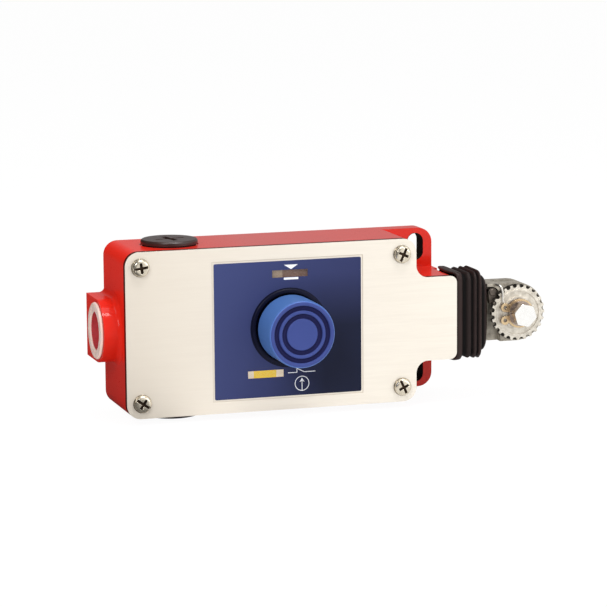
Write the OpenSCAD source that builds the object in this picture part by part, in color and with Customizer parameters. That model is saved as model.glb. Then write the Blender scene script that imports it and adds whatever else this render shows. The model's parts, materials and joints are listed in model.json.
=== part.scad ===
// Rope pull switch: a die-cast case with a screwed front plate, a booted reset
// button, two indicator windows, three cable entries and a spring-loaded pull
// rod. The rod carries a head with a ratchet take-up that tightens the rope.
//
// Case frame used inside the modules: X runs from the case's left end towards
// the rope, Y runs from the plate's front face into the depth, Z is up with 0
// at mid height. from_mounts() moves everything so that the origin lies midway
// between the two mounting slots on the back face.

/* [Case] */
// Length of the case without entry boss and neck
case_l = 127; // [110:1:150]
// Height of the case
case_h = 70; // [66:1:84]
// Depth from the front plate's face to the mounting face
case_d = 38.1; // [38:0.1:44]
// Radius of the case's upright corners
corner_r = 6; // [3:0.5:8]
// Wall thickness of the casting
wall = 3; // [2.4:0.1:3.6]

/* [Neck and mounting ears] */
// Length of the neck that carries the boot
neck_l = 18; // [16:0.5:22]
// Height of the neck
neck_h = 36; // [34:0.5:40]
// Depth at which the neck's rear side lies
neck_rear = 24; // [23:0.1:26]
// Fillet between case end and neck
neck_fillet = 5.2; // [2:0.1:6]
// Reach of the mounting ears beyond the case end
ear_reach = 17.5; // [15.5:0.5:20]
// Thickness of the mounting ears
ear_t = 8; // [5:0.5:10]
// Distance from the case end to the slot centres
slot_in = 9.9; // [8:0.1:11]
// Half the distance between the two mounting slots
slot_half = 26.9; // [25:0.1:28]
// Width of a mounting slot
slot_w = 7; // [5:0.1:8]
// Overall length of a mounting slot
slot_l = 11.5; // [9:0.1:12.5]

/* [Front plate] */
// Thickness of the steel front plate
plate_t = 1.5; // [1:0.1:2]
// Thickness of the gasket under the plate
gasket_t = 0.8; // [0.5:0.1:1.2]
// Distance of the plate screws from the left end
screw_in = 6.5; // [6:0.1:7]
// Distance of the plate screws from the top and bottom edges
screw_edge = 6.5; // [6:0.1:7]
// Diameter of a plate screw's head
screw_head_d = 7.3; // [6:0.1:7.8]

/* [Cable entries] */
// Bore of a cable entry
entry_d = 18.5; // [16:0.1:19]
// Diameter of a blanking plug's head
plug_d = 24; // [22:0.5:26]
// Distance of the top and bottom entries from the left end
entry_in = 23.9; // [22:0.1:26]
// Length of the boss round the end entry
boss_l = 7.8; // [5:0.1:10]

/* [Label and windows] */
// Width of the front label
label_w = 64.3; // [60:0.1:68]
// Height of the front label
label_h = 57.5; // [54:0.1:58]
// Thickness of the front label
label_t = 0.3; // [0.2:0.05:0.5]
// Width of each indicator window
window_w = 15.6; // [12:0.1:16]
// Height of each indicator window
window_h = 3.1; // [2.4:0.1:3.4]

/* [Reset button] */
// Distance of the button's axis from the left end
button_x = 70.3; // [69:0.1:72]
// Diameter of the button cap
cap_d = 28.5; // [27:0.1:29]
// Distance from the plate's face to the cap's front
cap_reach = 19.6; // [16:0.1:24]
// Travel of the button
press_travel = 4.5; // [3:0.1:4.6]

/* [Rope head] */
// Travel of the pull rod from slack rope to full pull
pull_travel = 12; // [8:0.5:13]
// Diameter of the pull rod
rod_d = 10; // [8:0.1:11]
// Depth of the rod's axis behind the plate's face
rod_y = 13.2; // [13:0.1:13.4]
// Distance from the neck's end to the take-up shaft's axis
head_reach = 29.3; // [28.5:0.1:34]
// Radius of the head's rounded end
head_r = 12.6; // [12.4:0.1:14]
// Width of the rope gap in the head
rope_gap = 4.6; // [3:0.1:5]
// Diameter of the rope hole through the drum
rope_hole_d = 3.8; // [2.5:0.1:4.5]
// Tip diameter of the ratchet wheel
wheel_d = 24.2; // [23.5:0.1:24.6]
// Number of notches round the ratchet wheel
notches = 24; // [12:12:24]
// Thickness of the ratchet wheel
wheel_t = 2.6; // [2:0.1:2.7]
// Diameter of the take-up shaft
shaft_d = 11; // [9:0.1:12]
// Width across flats of the wrench hexagon
hex_af = 9; // [7:0.1:9.5]

/* [Fits] */
// Radial play of a piece that turns or slides on a pin
running = 0.06; // [0.02:0.01:0.1]
// Radial play of a piece that is fixed in its seat
seat_play = 0.03; // [0.02:0.01:0.05]
// Free gap between parts that pass each other
gap = 0.3; // [0.2:0.05:0.5]

/* [Hidden] */

$fn = 64;
eps = 0.01;
arc_steps = 10;

// Colours
c_case = [0.80, 0.13, 0.09];
c_plate = [0.90, 0.87, 0.81];
c_steel = [0.72, 0.72, 0.70];
c_zamak = [0.60, 0.58, 0.54];
c_black = [0.10, 0.09, 0.09];
c_navy = [0.17, 0.18, 0.34];
c_blue = [0.22, 0.32, 0.66];
c_zinc = [0.78, 0.66, 0.38];
c_brass = [0.75, 0.60, 0.32];
c_yellow = [0.95, 0.78, 0.15];
c_grey = [0.35, 0.36, 0.38];
c_clear = [0.85, 0.86, 0.84, 0.5];

// Levels in the depth
case_front = plate_t + gasket_t;
floor_y = case_d - wall;
ear_front = case_d - ear_t;
entry_y = case_d / 2;

// Places along the length
slot_x = case_l + slot_in;
neck_end = case_l + neck_l;
tab_end = neck_end + 0.3;
wheel_x = neck_end + head_reach;
ear_end = case_l + ear_reach;

// Outline radii
ear_r = 6.3;
tab_r = 3;
cavity_r = max(corner_r - wall, 1);
boss_r = plug_d / 2 + 1.3;
fillet_r = min(neck_fillet, (case_h - neck_h) / 2 - corner_r - 1);

// Plate screws: left and right columns, top and bottom rows
screw_xs = [screw_in, case_l - screw_in];
screw_zs = [-case_h / 2 + screw_edge, case_h / 2 - screw_edge];
screw_r = 2;
post_r = 5.4;
post_bore_l = 17;
washer_t = 0.6;
washer_out = 0.25;
head_t = 1.9;
screw_tip = 14;
// Turn of each screw's slot, left to right and bottom to top
screw_turns = [[-35, 8], [-65, 65]];

// Earth post on the floor
earth_x = 14;
earth_z = -16;
earth_h = 6;
earth_r = 4;

// Cable entries
entry_r = entry_d / 2;
plug_r = plug_d / 2;
spot_r = plug_r + gap;
spot_depth = 0.4;
seal_t = 0.8;
seal_z = case_h / 2 - spot_depth;
plug_head_t = 2;
plug_shank_l = 11;
plug_edge = 0.6;
plug_wall = 2.2;
cross_l = 13;
cross_w = 2.2;
cross_depth = 1.2;
inner_boss_r = entry_r + 2.5;
boss_fillet = 2.4;
boss_back = 0.6;
film_r = entry_r - 1.25;
film_in = 4.2;
film_t = 1.4;
flange_h = 1.2;
flange_edge = 0.5;

// Windows: tension above the button, contact state below it
label_x = button_x - label_w / 2 - 0.3;
label_z = -label_h / 2 - 0.4;
recess_t = 0.12;
recess_edge = 0.9;
label_front = recess_t - label_t;
tension_x = button_x + 0.6;
tension_z = 22.9;
state_x = button_x - 10.3;
state_z = -19.3;
pane_lip = 0.6;
pane_t = 1.3;
strip_t = 0.8;
strip_y = plate_t + 1.1;
strip_z0 = tension_z - 2.5;
strip_z1 = tension_z + 2.5;
strip_x0 = tension_x - window_w / 2 - pull_travel - 0.8;
guide_half = 2;
guide_wall = 1;
guide_out = 7.3;

// Reset button
cap_r = cap_d / 2;
cap_wall = 1.6;
cap_base = -2.4;
cup_r = cap_r + 0.45;
cup_wall = 0.9;
cup_floor = cap_base + press_travel + 0.9;
cup_floor_t = 1.4;
collar_r = cup_r + cup_wall;
bezel_r = collar_r + 0.9;
bezel_t = 0.8;
sleeve_r = 9.5;
plunger_r = 6;
sleeve_front = -9;
sleeve_rear = rod_y - 4 - gap;
nut_rear = cup_floor + cup_floor_t;
nut_r = collar_r + 1.7;
cap_front = -cap_reach;
cap_top_t = 2;
spring_gap = 0.5;
spring_gauge = 0.6;
// Steps on the cap's face: rim, groove, ring, groove, disc
rim_w = 2.05;
groove_w = 2.2;
ring_w = 1.2;
groove_depth = 1.4;
groove_slope = 0.4;
rim_in = cap_r - rim_w;
ring_out = rim_in - groove_w;
ring_in = ring_out - ring_w;
disc_r = ring_in - groove_w;
cap_inside = cap_front + cap_top_t + groove_depth;
plunger_head_r = 8.5;
plunger_head_t = 1.2;
stem_r = 2.4;
stem_y = sleeve_rear + press_travel + 0.2;

// Pull rod, spring and cam slide
rod_r = rod_d / 2;
bush_r = rod_r + 4;
bush_flange_r = min(bush_r + 2, rod_y - plate_t - gap);
bush_flange_t = 2.2;
bush_tip = neck_end + 1;
inner_end = case_l - wall;
bush_step = 1;
// The nut clears the button's collar; slide, seat and spring follow it
nut_clear = 0.2;
nut_t = 5;
nut_corner = 8.6;
rod_stub = 2;
bar_t = 6;
seat_t = 2;
nut_x0 = button_x + collar_r + nut_clear;
rod_x0 = nut_x0 - rod_stub;
bar_x0 = nut_x0 + nut_t;
bar_x1 = bar_x0 + bar_t;
spring_x = bar_x1 + seat_t;
spring_free = inner_end - bush_flange_t - gap - spring_x;
spring_wire = 2;
spring_pitch = 4.6;
spring_turns = (spring_free - spring_wire) / spring_pitch;
spring_r = rod_r + 2.6;
rod_chamfer = 0.8;
rail_x0 = 33;
rail_in = 9.3;
rail_out = 13;
rail_y0 = rod_y - 4;
rail_y1 = rod_y + 4;
bar_half_y = rod_r + 2.2;
bar_half_z = 14;
ramp_x = 58;
ramp_slope = 0.25;
// Leg that carries the tension strip
leg_x0 = bar_x0 + 1;
leg_x1 = bar_x0 + 5;
leg_y0 = rail_y0 + 1;
leg_y1 = rail_y0 + 3;

// Contacts
block_x0 = entry_in + entry_r + 3.4;
block_x1 = 60;
contact_x = 47;
block_in = 20.4;
block_out = case_h / 2 - wall - 0.5;
block_y0 = 10;
tip_r = 2;
tip_in = rail_out + ramp_slope * (ramp_x - contact_x) + gap;
tip_l = 10.4;
bracket_t = 1.5;
bracket_y = floor_y - bracket_t;
terminal_r = 1.7;
terminal_bore = 1.5;
terminal_l = 4;
block_edge = 0.8;
wire_slot = [3, 6, 2];
terminal_z = (block_in + block_out) / 2 + 1;
terminal_xs = [block_x0 + 2.2, contact_x - tip_r - terminal_r - 0.9,
    contact_x + tip_r + terminal_r + 1.4, block_x1 - 2.4];

// Latch bell crank and state flag
latch_x = bar_x0 + 2.5;
latch_y = (rod_y + bar_half_y + bracket_y) / 2;
latch_r = 3.5;
latch_pin_r = 1.5;
arm_t = 3;
arm_y = rod_y + nut_corner + 0.5;
arm_z = 3;
nose_front = arm_y - 0.6;
crank_z0 = -24;
crank_z1 = -20.5;
flag_y = max(nut_rear + gap, 4.7);
flag_z0 = -22.5;
flag_z1 = -16.3;
flag_tail = 1.5;
prong_l = 3.6;
prong_half = 2.1;
prong_t = 1.2;
crank_half = 1;
arm_half = 3;
tension_guides = [tension_x - window_w / 2 - guide_out, tension_x + window_w / 2 + guide_out];
latch_in = 12.3;
state_guides = [state_x - window_w / 2 - guide_out, latch_x - latch_in];
flag_x0 = state_guides[0] - guide_half - flag_tail;
lug_half = 3.5;
lug_t = 2.7;
latch_pin_out = gap + lug_t + 0.5;
bracket_out = 8;
frame_screw_r = 1.5;
frame_screw_at = [[64, 28], [64, -28], [latch_x + 5, 24]];

// Rope head and take-up
head_tail = 13.1;
head_x0 = wheel_x - head_tail;
head_y0 = 5.5;
head_y1 = 19.2;
cheek_l = 7.1;
step_x = wheel_x - cheek_l;
step_y = 9.4;
gap_y0 = rod_y - rope_gap / 2;
gap_y1 = rod_y + rope_gap / 2;
shank_r = 7;
shank_x0 = neck_end + 6;
pin_r = 1.5;
pin_x = head_x0 - 4;
shaft_r = shaft_d / 2;
wheel_r = wheel_d / 2;
wheel_y1 = head_y0 - gap;
wheel_y0 = wheel_y1 - wheel_t;
flat_half = shaft_r - 0.5;
hub_t = 1;
hub_r = 7.2;
ring_t = 0.35;
clip_t = 1;
clip_y = wheel_y0 - hub_t - clip_t;
shaft_front = clip_y - 1.2;
hex_l = 5.6;
hex_front = shaft_front - hex_l;
hex_turn = 47;
hex_corner = hex_af / sqrt(3);
hex_chamfer = 0.3;
clip_lug = [6.7, 2.8];
clip_lug_r = 1.9;
clip_eye_r = 0.8;
clip_w = 0.8;
clip_in = 0.4;
clip_slit = 0.8;
clip_play = 0.02;
ring_out_in = 1.9;
ring_in_in = 2.8;
gap_x0 = wheel_x - shaft_r - 2;
rod_x1 = head_x0 - 0.8;
pocket_r = 4.5;
pocket_top = head_r - 1.2;
rod_pin_in = 0.8;
flange_r = shaft_r + 2;
flange_t = 1.6;
notch_r = 0.95;
notch_step = 360 / notches;
pawl_angle = 157.5;
pawl_back = 10.7;
pawl_x = wheel_x - pawl_back;
pawl_z = 8.9;
pawl_pin_r = 1;
pawl_pin_l = 3.8;
pawl_eye_r = 1.9;
pawl_t = 1.8;
pawl_y0 = wheel_y1 + gap;
pawl_y1 = pawl_y0 + pawl_t;
pawl_end_r = 1.15;
pawl_head_t = 0.4;
pawl_spring_gap = 0.3;
nose_r = 0.65;
nose = [wheel_x + (wheel_r - 0.25) * cos(pawl_angle), (wheel_r - 0.25) * sin(pawl_angle)];

// Boot sections: [place along the boot, inset in depth, inset in height, corner radius]
boot_y = rod_y - 0.9;
boot_wall = 1.5;
boot_x0 = tab_end + 0.05;
boot_l = head_x0 - 0.9 - boot_x0;
boot_hy = rod_y - 1.6;
boot_hz = neck_h / 2 + 1.2;
boot_sections = [
    [0.000, 0.0, 0.0, 3.0], [0.190, 0.0, 0.0, 3.0], [0.235, 1.8, 2.0, 3.0],
    [0.300, 1.8, 2.0, 3.0], [0.350, 0.2, 0.5, 3.4], [0.455, 0.1, 0.4, 3.6],
    [0.492, 1.7, 1.9, 3.6], [0.520, 1.7, 1.9, 3.8], [0.560, 0.2, 0.2, 4.0],
    [0.630, 0.2, 0.1, 4.0], [0.662, 1.7, 1.8, 4.0], [0.684, 1.7, 1.8, 4.2],
    [0.720, 0.4, -0.1, 4.4], [0.790, 0.5, 0.0, 4.6], [0.822, 2.2, 2.9, 5.0],
    [0.846, 2.2, 2.9, 5.4], [0.880, 1.9, 2.7, 5.8], [0.940, 1.9, 2.8, 6.0],
    [1.000, 2.6, 3.6, 6.0]
];
boot_mouth = shank_r + rod_y - boot_y + 0.4;
lip_l = 2.4;
boot_n = 6;

// ---- Helpers -------------------------------------------------------------

// Moves the case frame onto the mounting slots
module from_mounts() {
    translate([-slot_x, -case_d, 0]) children();
}

// Points of an arc from angle a0 to a1
function arc(cx, cy, r, a0, a1, n = arc_steps) =
    [for (i = [0:n]) let (a = a0 + (a1 - a0) * i / n) [cx + r * cos(a), cy + r * sin(a)]];

// Outline of a rectangle from x0, z0 to x1, z1 with corner radius r
function rounded(x0, x1, z0, z1, r, n = arc_steps) = concat(
    arc(x0 + r, z0 + r, r, 180, 270, n), arc(x1 - r, z0 + r, r, 270, 360, n),
    arc(x1 - r, z1 - r, r, 0, 90, n), arc(x0 + r, z1 - r, r, 90, 180, n)
);

// Outline of case front and neck tab, drawn in by d all round
function front_outline(d, x_end) = let (
    x0 = d, x1 = case_l - d, h = case_h / 2 - d, t = neck_h / 2 - d,
    r = corner_r - d, f = fillet_r + d, tr = tab_r - d
) concat(
    arc(x0 + r, -h + r, r, 180, 270), arc(x1 - r, -h + r, r, 270, 360),
    arc(x1 + f, -t - f, f, 180, 90), arc(x_end - d - tr, -t + tr, tr, 270, 360),
    arc(x_end - d - tr, t - tr, tr, 0, 90), arc(x1 + f, t + f, f, 270, 180),
    arc(x1 - r, h - r, r, 0, 90), arc(x0 + r, h - r, r, 90, 180)
);

// Raises a flat XZ drawing from depth y0 to y1
module depth(y0, y1) {
    translate([0, y1, 0]) rotate([90, 0, 0]) linear_extrude(y1 - y0) children();
}

module box(x0, x1, y0, y1, z0, z1) {
    translate([x0, y0, z0]) cube([x1 - x0, y1 - y0, z1 - z0]);
}

// Round bars along each axis
module bar_x(x0, x1, y, z, r) {
    translate([x0, y, z]) rotate([0, 90, 0]) cylinder(r = r, h = x1 - x0);
}
module bar_y(y0, y1, x, z, r) {
    translate([x, y1, z]) rotate([90, 0, 0]) cylinder(r = r, h = y1 - y0);
}
module bar_z(z0, z1, x, y, r) {
    translate([x, y, z0]) cylinder(r = r, h = z1 - z0);
}

// Revolves a [radius, depth] outline about an axis along Y
module turned_y(x, z, profile) {
    translate([x, 0, z]) rotate([-90, 0, 0]) rotate_extrude() polygon(profile);
}

// Upright slot with round ends
module slot_shape(x, z, w, l) {
    translate([x, z]) union() {
        square([w, l - w], center = true);
        for (s = [-1, 1]) translate([0, s * (l - w) / 2]) circle(d = w);
    }
}

// Helical wire about +Z from z = 0, closed at both ends
module coil(r, wire_r, length, turns, sides = 6, per_turn = 18) {
    steps = ceil(turns * per_turn);
    pts = [for (i = [0:steps], j = [0:sides - 1]) let (
        a = 360 * turns * i / steps, b = 360 * j / sides,
        q = r + wire_r * cos(b),
        z = wire_r + (length - 2 * wire_r) * i / steps + wire_r * sin(b)
    ) [q * cos(a), q * sin(a), z]];
    walls = [for (i = [0:steps - 1], j = [0:sides - 1]) let (k = (j + 1) % sides)
        [i * sides + j, (i + 1) * sides + j, (i + 1) * sides + k, i * sides + k]];
    start = [[for (j = [0:sides - 1]) j]];
    finish = [[for (j = [sides - 1:-1:0]) steps * sides + j]];
    polyhedron(points = pts, faces = concat(start, walls, finish), convexity = 8);
}

// ---- Case ----------------------------------------------------------------

// Outline of the rear flange that forms the two ears
function ear_outline() = let (h = case_h / 2) concat(
    [[case_l - corner_r - 1, -h]], arc(ear_end - ear_r, -h + ear_r, ear_r, 270, 360),
    arc(ear_end - ear_r, h - ear_r, ear_r, 0, 90), [[case_l - corner_r - 1, h]]
);

// End boss, round in front and square behind, with a fillet at the case
module boss_solid() {
    r = boss_r;
    f = boss_fillet;
    foot = concat(arc(-f, r + f, f, 270, 360), [[wall / 2, r + f], [wall / 2, 0]]);
    bar_x(-boss_l, wall / 2, entry_y, 0, r);
    box(-boss_l, wall / 2, entry_y, case_d - boss_back, -r, r);
    translate([0, entry_y, 0]) rotate([0, 90, 0]) rotate_extrude()
        polygon([for (p = concat(foot, [[-f, 0]])) [p[1], p[0]]]);
    for (s = [0, 1]) mirror([0, 0, s])
        depth(entry_y, case_d - boss_back) polygon(concat(foot, [[-f, 0]]));
}

module housing() from_mounts() color(c_case) difference() {
    union() {
        difference() {
            depth(case_front, case_d)
                polygon(rounded(0, case_l, -case_h / 2, case_h / 2, corner_r));
            depth(case_front - 1, floor_y)
                polygon(rounded(wall, inner_end, -case_h / 2 + wall, case_h / 2 - wall, cavity_r));
        }
        // Neck with its fillets, and the web that ties it to the rear flange
        difference() {
            depth(case_front, neck_rear) polygon(neck_outline());
            box(case_l - corner_r - 2, inner_end, 0, neck_rear + 1, -case_h / 2, case_h / 2);
        }
        box(inner_end, ear_end, neck_rear - 1, ear_front + 1, -neck_h / 2, neck_h / 2);
        difference() {
            depth(ear_front, case_d) polygon(ear_outline());
            box(0, inner_end, ear_front - 1, floor_y, -case_h / 2 + wall, case_h / 2 - wall);
        }
        boss_solid();
        // Screw posts in the corners
        for (x = screw_xs, z = screw_zs)
            intersection() {
                bar_y(case_front, floor_y + 1, x, z, post_r);
                box(wall / 2, case_l - wall / 2, 0, case_d,
                    -case_h / 2 + wall / 2, case_h / 2 - wall / 2);
            }
        // Inner bosses behind the top and bottom entries
        for (s = [-1, 1])
            translate([entry_in, entry_y, s * (case_h / 2 - 1.5 * wall)])
                cylinder(r = inner_boss_r, h = wall + 2, center = true);
        // Earth post on the floor
        bar_y(floor_y - earth_h, floor_y + 1, earth_x, earth_z, earth_r);
    }
    for (x = screw_xs, z = screw_zs)
        bar_y(case_front - 1, case_front + post_bore_l, x, z, screw_r + seat_play);
    // Cable entries and their spot faces
    bar_x(-boss_l - 1, wall + 2, entry_y, 0, entry_r);
    bar_z(-case_h, case_h, entry_in, entry_y, entry_r);
    for (s = [-1, 1])
        translate([entry_in, entry_y, s * (case_h / 2 - spot_depth + 2)])
            cylinder(r = spot_r, h = 4, center = true);
    // Seat of the guide bush
    bar_x(inner_end - 1, neck_end + 1, rod_y, 0, bush_r + seat_play);
    // Mounting slots
    for (s = [-1, 1])
        depth(ear_front - 1, case_d + 1) slot_shape(slot_x, s * slot_half, slot_w, slot_l);
    bar_y(floor_y - earth_h - 1, floor_y - 1, earth_x, earth_z, screw_r + seat_play);
}

// Outline of the neck from inside the case end, with concave fillets
function neck_outline() = let (t = neck_h / 2, f = fillet_r, r = tab_r) concat(
    [[case_l - corner_r, -t - f]], arc(case_l + f, -t - f, f, 180, 90),
    arc(neck_end - r, -t + r, r, 270, 360), arc(neck_end - r, t - r, r, 0, 90),
    arc(case_l + f, t + f, f, 270, 180), [[case_l - corner_r, t + f]]
);

module cover_gasket() from_mounts() color(c_black) depth(plate_t, case_front)
    difference() {
        polygon(front_outline(0.5, neck_end));
        difference() {
            polygon(rounded(wall, inner_end, -case_h / 2 + wall, case_h / 2 - wall, cavity_r));
            for (x = screw_xs, z = screw_zs) translate([x, z]) circle(r = post_r);
        }
        for (x = screw_xs, z = screw_zs) translate([x, z]) circle(r = screw_r + 0.3);
    }

module window_cut(x, z, lip) {
    translate([x, z]) square([window_w + 2 * lip, window_h + 2 * lip], center = true);
}

// Outline of the label, grown by d all round
function label_outline(d) = rounded(label_x - d, label_x + label_w + d, label_z - d,
    label_z + label_h + d, 0.6 + d / 2, 4);

module cover_plate() from_mounts() color(c_plate) difference() {
    depth(0, plate_t) plate_shape();
    // Shallow recess that the label lies in
    depth(-1, recess_t) polygon(label_outline(recess_edge));
}

module plate_shape() difference() {
    polygon(front_outline(0, tab_end));
    for (x = screw_xs, z = screw_zs) translate([x, z]) circle(r = screw_r + 0.3);
    translate([button_x, 0]) circle(r = collar_r + seat_play);
    window_cut(tension_x, tension_z, pane_lip + seat_play);
    window_cut(state_x, state_z, pane_lip + seat_play);
}

// Pan head with a slot across it and a shorter, deeper cross
module pan_head(r, h) {
    w = r * 0.3;
    difference() {
        rotate_extrude() polygon([[0, 0], [r, 0], [r, h * 0.45], [r * 0.86, h * 0.85],
            [r * 0.6, h], [0, h]]);
        translate([-r - 1, -w / 2, h * 0.55]) cube([2 * r + 2, w, h]);
        for (a = [0, 90]) rotate(a) translate([-r * 0.62, -w / 2, h * 0.3]) cube([r * 1.24, w, h]);
    }
}

module cover_screws() from_mounts() color(c_steel) for (i = [0, 1], j = [0, 1])
    translate([screw_xs[i], 0, screw_zs[j]]) rotate([90, 0, 0]) {
        translate([0, 0, -screw_tip]) cylinder(r = screw_r, h = screw_tip + washer_t + 0.1);
        translate([0, 0, washer_t]) rotate(screw_turns[i][j])
            pan_head(screw_head_d / 2, head_t);
    }

module screw_washers() from_mounts() color(c_zinc) for (x = screw_xs, z = screw_zs)
    depth(-washer_t, 0) translate([x, z]) difference() {
        circle(r = screw_head_d / 2 + washer_out);
        circle(r = screw_r + seat_play);
    }

module front_label() from_mounts() color(c_navy) depth(label_front, recess_t) difference() {
    polygon(label_outline(0));
    translate([button_x, 0]) circle(r = collar_r + seat_play);
    window_cut(tension_x, tension_z, 0);
    window_cut(state_x, state_z, 0);
}

module pane(x, z) color(c_clear) depth(recess_t, pane_t) window_cut(x, z, pane_lip);
module tension_window() from_mounts() pane(tension_x, tension_z);
module state_window() from_mounts() pane(state_x, state_z);

// A clip behind the plate that a strip slides through
module guide_clip(x, y0, z0, z1) difference() {
    box(x - guide_half, x + guide_half, plate_t, y0 + strip_t + gap + guide_wall,
        z0 - gap - guide_wall, z1 + gap + guide_wall);
    box(x - guide_half - 1, x + guide_half + 1, y0 - gap, y0 + strip_t + gap, z0 - gap, z1 + gap);
}

module indicator_guides() from_mounts() color(c_black) {
    for (x = tension_guides) guide_clip(x, strip_y, strip_z0, strip_z1);
    for (x = state_guides) guide_clip(x, flag_y, flag_z0, flag_z1);
}

// ---- Cable entries --------------------------------------------------------

module blanking_plug() {
    difference() {
        union() {
            rotate_extrude() polygon([[0, 0], [plug_r, 0], [plug_r, plug_head_t - plug_edge],
                [plug_r - plug_edge, plug_head_t], [0, plug_head_t]]);
            translate([0, 0, -plug_shank_l]) cylinder(r = entry_r - seat_play, h = plug_shank_l + 0.1);
        }
        translate([0, 0, -plug_shank_l - 1]) cylinder(r = entry_r - plug_wall, h = plug_shank_l - 1);
        for (a = [0, 90]) rotate(a + 12)
            translate([-cross_l / 2, -cross_w / 2, plug_head_t - cross_depth]) cube([cross_l, cross_w, 3]);
    }
}
module top_plug() from_mounts() color(c_black)
    translate([entry_in, entry_y, seal_z + seal_t]) blanking_plug();
module bottom_plug() from_mounts() color(c_black)
    translate([entry_in, entry_y, -seal_z - seal_t]) rotate([180, 0, 0]) blanking_plug();

module plug_seals() from_mounts() color(c_black) for (s = [-1, 1])
    translate([entry_in, entry_y, s * (seal_z + seal_t / 2)]) difference() {
        cylinder(r = plug_r - 0.7, h = seal_t, center = true);
        cylinder(r = entry_r, h = seal_t + 1, center = true);
    }

// Press-in cap of the end entry: a flanged ring with a sunk centre
module dust_cap() from_mounts() color(c_clear) translate([-boss_l, entry_y, 0])
    rotate([0, -90, 0]) rotate_extrude() polygon([
        [0, -film_in], [film_r, -film_in], [film_r, flange_h - flange_edge],
        [film_r + flange_edge, flange_h], [plug_r - flange_edge, flange_h],
        [plug_r, flange_h - flange_edge], [plug_r, 0], [entry_r - seat_play, 0],
        [entry_r - seat_play, -film_in - film_t], [0, -film_in - film_t]
    ]);

// ---- Pull rod line --------------------------------------------------------

module guide_bush() from_mounts() color(c_brass) difference() {
    union() {
        bar_x(inner_end, bush_tip, rod_y, 0, bush_r);
        bar_x(inner_end - bush_flange_t, inner_end, rod_y, 0, bush_flange_r);
    }
    bar_x(inner_end - bush_flange_t - 1, bush_tip + 1, rod_y, 0, rod_r + running);
}

// Points of one boot section at x
function boot_loop(x, hy, hz, r) = [for (p = concat(
        arc(hy - r, hz - r, r, 0, 90, boot_n), arc(-hy + r, hz - r, r, 90, 180, boot_n),
        arc(-hy + r, -hz + r, r, 180, 270, boot_n), arc(hy - r, -hz + r, r, 270, 360, boot_n)))
    [x, boot_y + p[0], p[1]]];
boot_outside = [for (s = boot_sections)
    boot_loop(boot_x0 + s[0] * boot_l, boot_hy - s[1], boot_hz - s[2], s[3])];
boot_inside = [for (i = [len(boot_sections) - 1:-1:0]) let (s = boot_sections[i],
        last = i == len(boot_sections) - 1, x = boot_x0 + s[0] * boot_l)
    last ? boot_loop(x, boot_mouth, boot_mouth, boot_mouth - 1)
         : boot_loop(min(x, boot_x0 + boot_l - boot_wall), boot_hy - s[1] - boot_wall,
                     boot_hz - s[2] - boot_wall, max(s[3] - boot_wall, 1))];

module boot() from_mounts() color(c_black) {
    loops = concat(boot_outside, boot_inside);
    n = len(loops[0]);
    m = len(loops);
    polyhedron(
        points = [for (l = loops, p = l) p],
        faces = [for (i = [0:m - 1], j = [0:n - 1]) let (a = i, b = (i + 1) % m, k = (j + 1) % n)
            [a * n + j, b * n + j, b * n + k, a * n + k]],
        convexity = 10
    );
    // Lips that grip the neck above and below
    for (s = [0, 1]) mirror([0, 0, s])
        box(boot_x0 - lip_l, boot_x0 + 0.6, case_front + 0.2, boot_y + boot_hy - 2,
            neck_h / 2 + seat_play, boot_hz - 0.05);
}

module pull_rod() from_mounts() color(c_steel) difference() {
    translate([rod_x0, rod_y, 0]) rotate([0, 90, 0]) rotate_extrude() polygon([
        [0, 0], [rod_r - rod_chamfer, 0], [rod_r, rod_chamfer], [rod_r, rod_x1 - rod_x0],
        [0, rod_x1 - rod_x0]
    ]);
    bar_z(-rod_r - 1, rod_r + 1, pin_x, rod_y, pin_r + seat_play);
}

module rod_pin() from_mounts() color(c_steel)
    bar_z(-shank_r + rod_pin_in, shank_r - rod_pin_in, pin_x, rod_y, pin_r);

module rod_nut() from_mounts() color(c_zinc) difference() {
    translate([nut_x0, rod_y, 0]) rotate([0, 90, 0]) cylinder(r = nut_corner, h = nut_t, $fn = 6);
    bar_x(nut_x0 - 1, bar_x0 + 1, rod_y, 0, rod_r + seat_play);
}

// Fork with one ramped rail above the rod's line and one below
module cam_slide() from_mounts() color(c_grey) difference() {
    union() {
        box(bar_x0, bar_x1, rod_y - bar_half_y, rod_y + bar_half_y, -bar_half_z, bar_half_z);
        for (s = [0, 1]) mirror([0, 0, s]) depth(rail_y0, rail_y1) polygon([
            [rail_x0, rail_in], [bar_x0 + 1, rail_in], [bar_x0 + 1, rail_out], [ramp_x, rail_out],
            [rail_x0, rail_out + ramp_slope * (ramp_x - rail_x0)]
        ]);
    }
    bar_x(bar_x0 - 1, bar_x1 + 1, rod_y, 0, rod_r + seat_play);
}

module spring_seat() from_mounts() color(c_steel) difference() {
    bar_x(bar_x1, bar_x1 + seat_t, rod_y, 0, bush_flange_r - bush_step);
    bar_x(bar_x1 - 1, bar_x1 + seat_t + 1, rod_y, 0, rod_r + seat_play);
}

module main_spring() from_mounts() color(c_steel)
    translate([spring_x + gap / 2, rod_y, 0]) rotate([0, 90, 0])
        coil(spring_r + 1.2, spring_wire / 2, spring_free, spring_turns, 8, 20);

// Leg on the cam slide and the marked strip behind the upper window
module tension_indicator() from_mounts() color(c_yellow) {
    box(leg_x0, leg_x1, leg_y0, leg_y1, bar_half_z, strip_z1);
    box(leg_x0, leg_x1, strip_y, leg_y1, strip_z0 + 1, strip_z1);
    box(strip_x0, leg_x1, strip_y, strip_y + strip_t, strip_z0, strip_z1);
}

// ---- Rope head ------------------------------------------------------------

// Outline of the head: straight at the boot, round at the rope's end
function head_outline(x0, r) = concat(
    [[x0, -r]], arc(wheel_x, 0, r, -90, 90, 4 * arc_steps), [[x0, r]]
);

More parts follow.
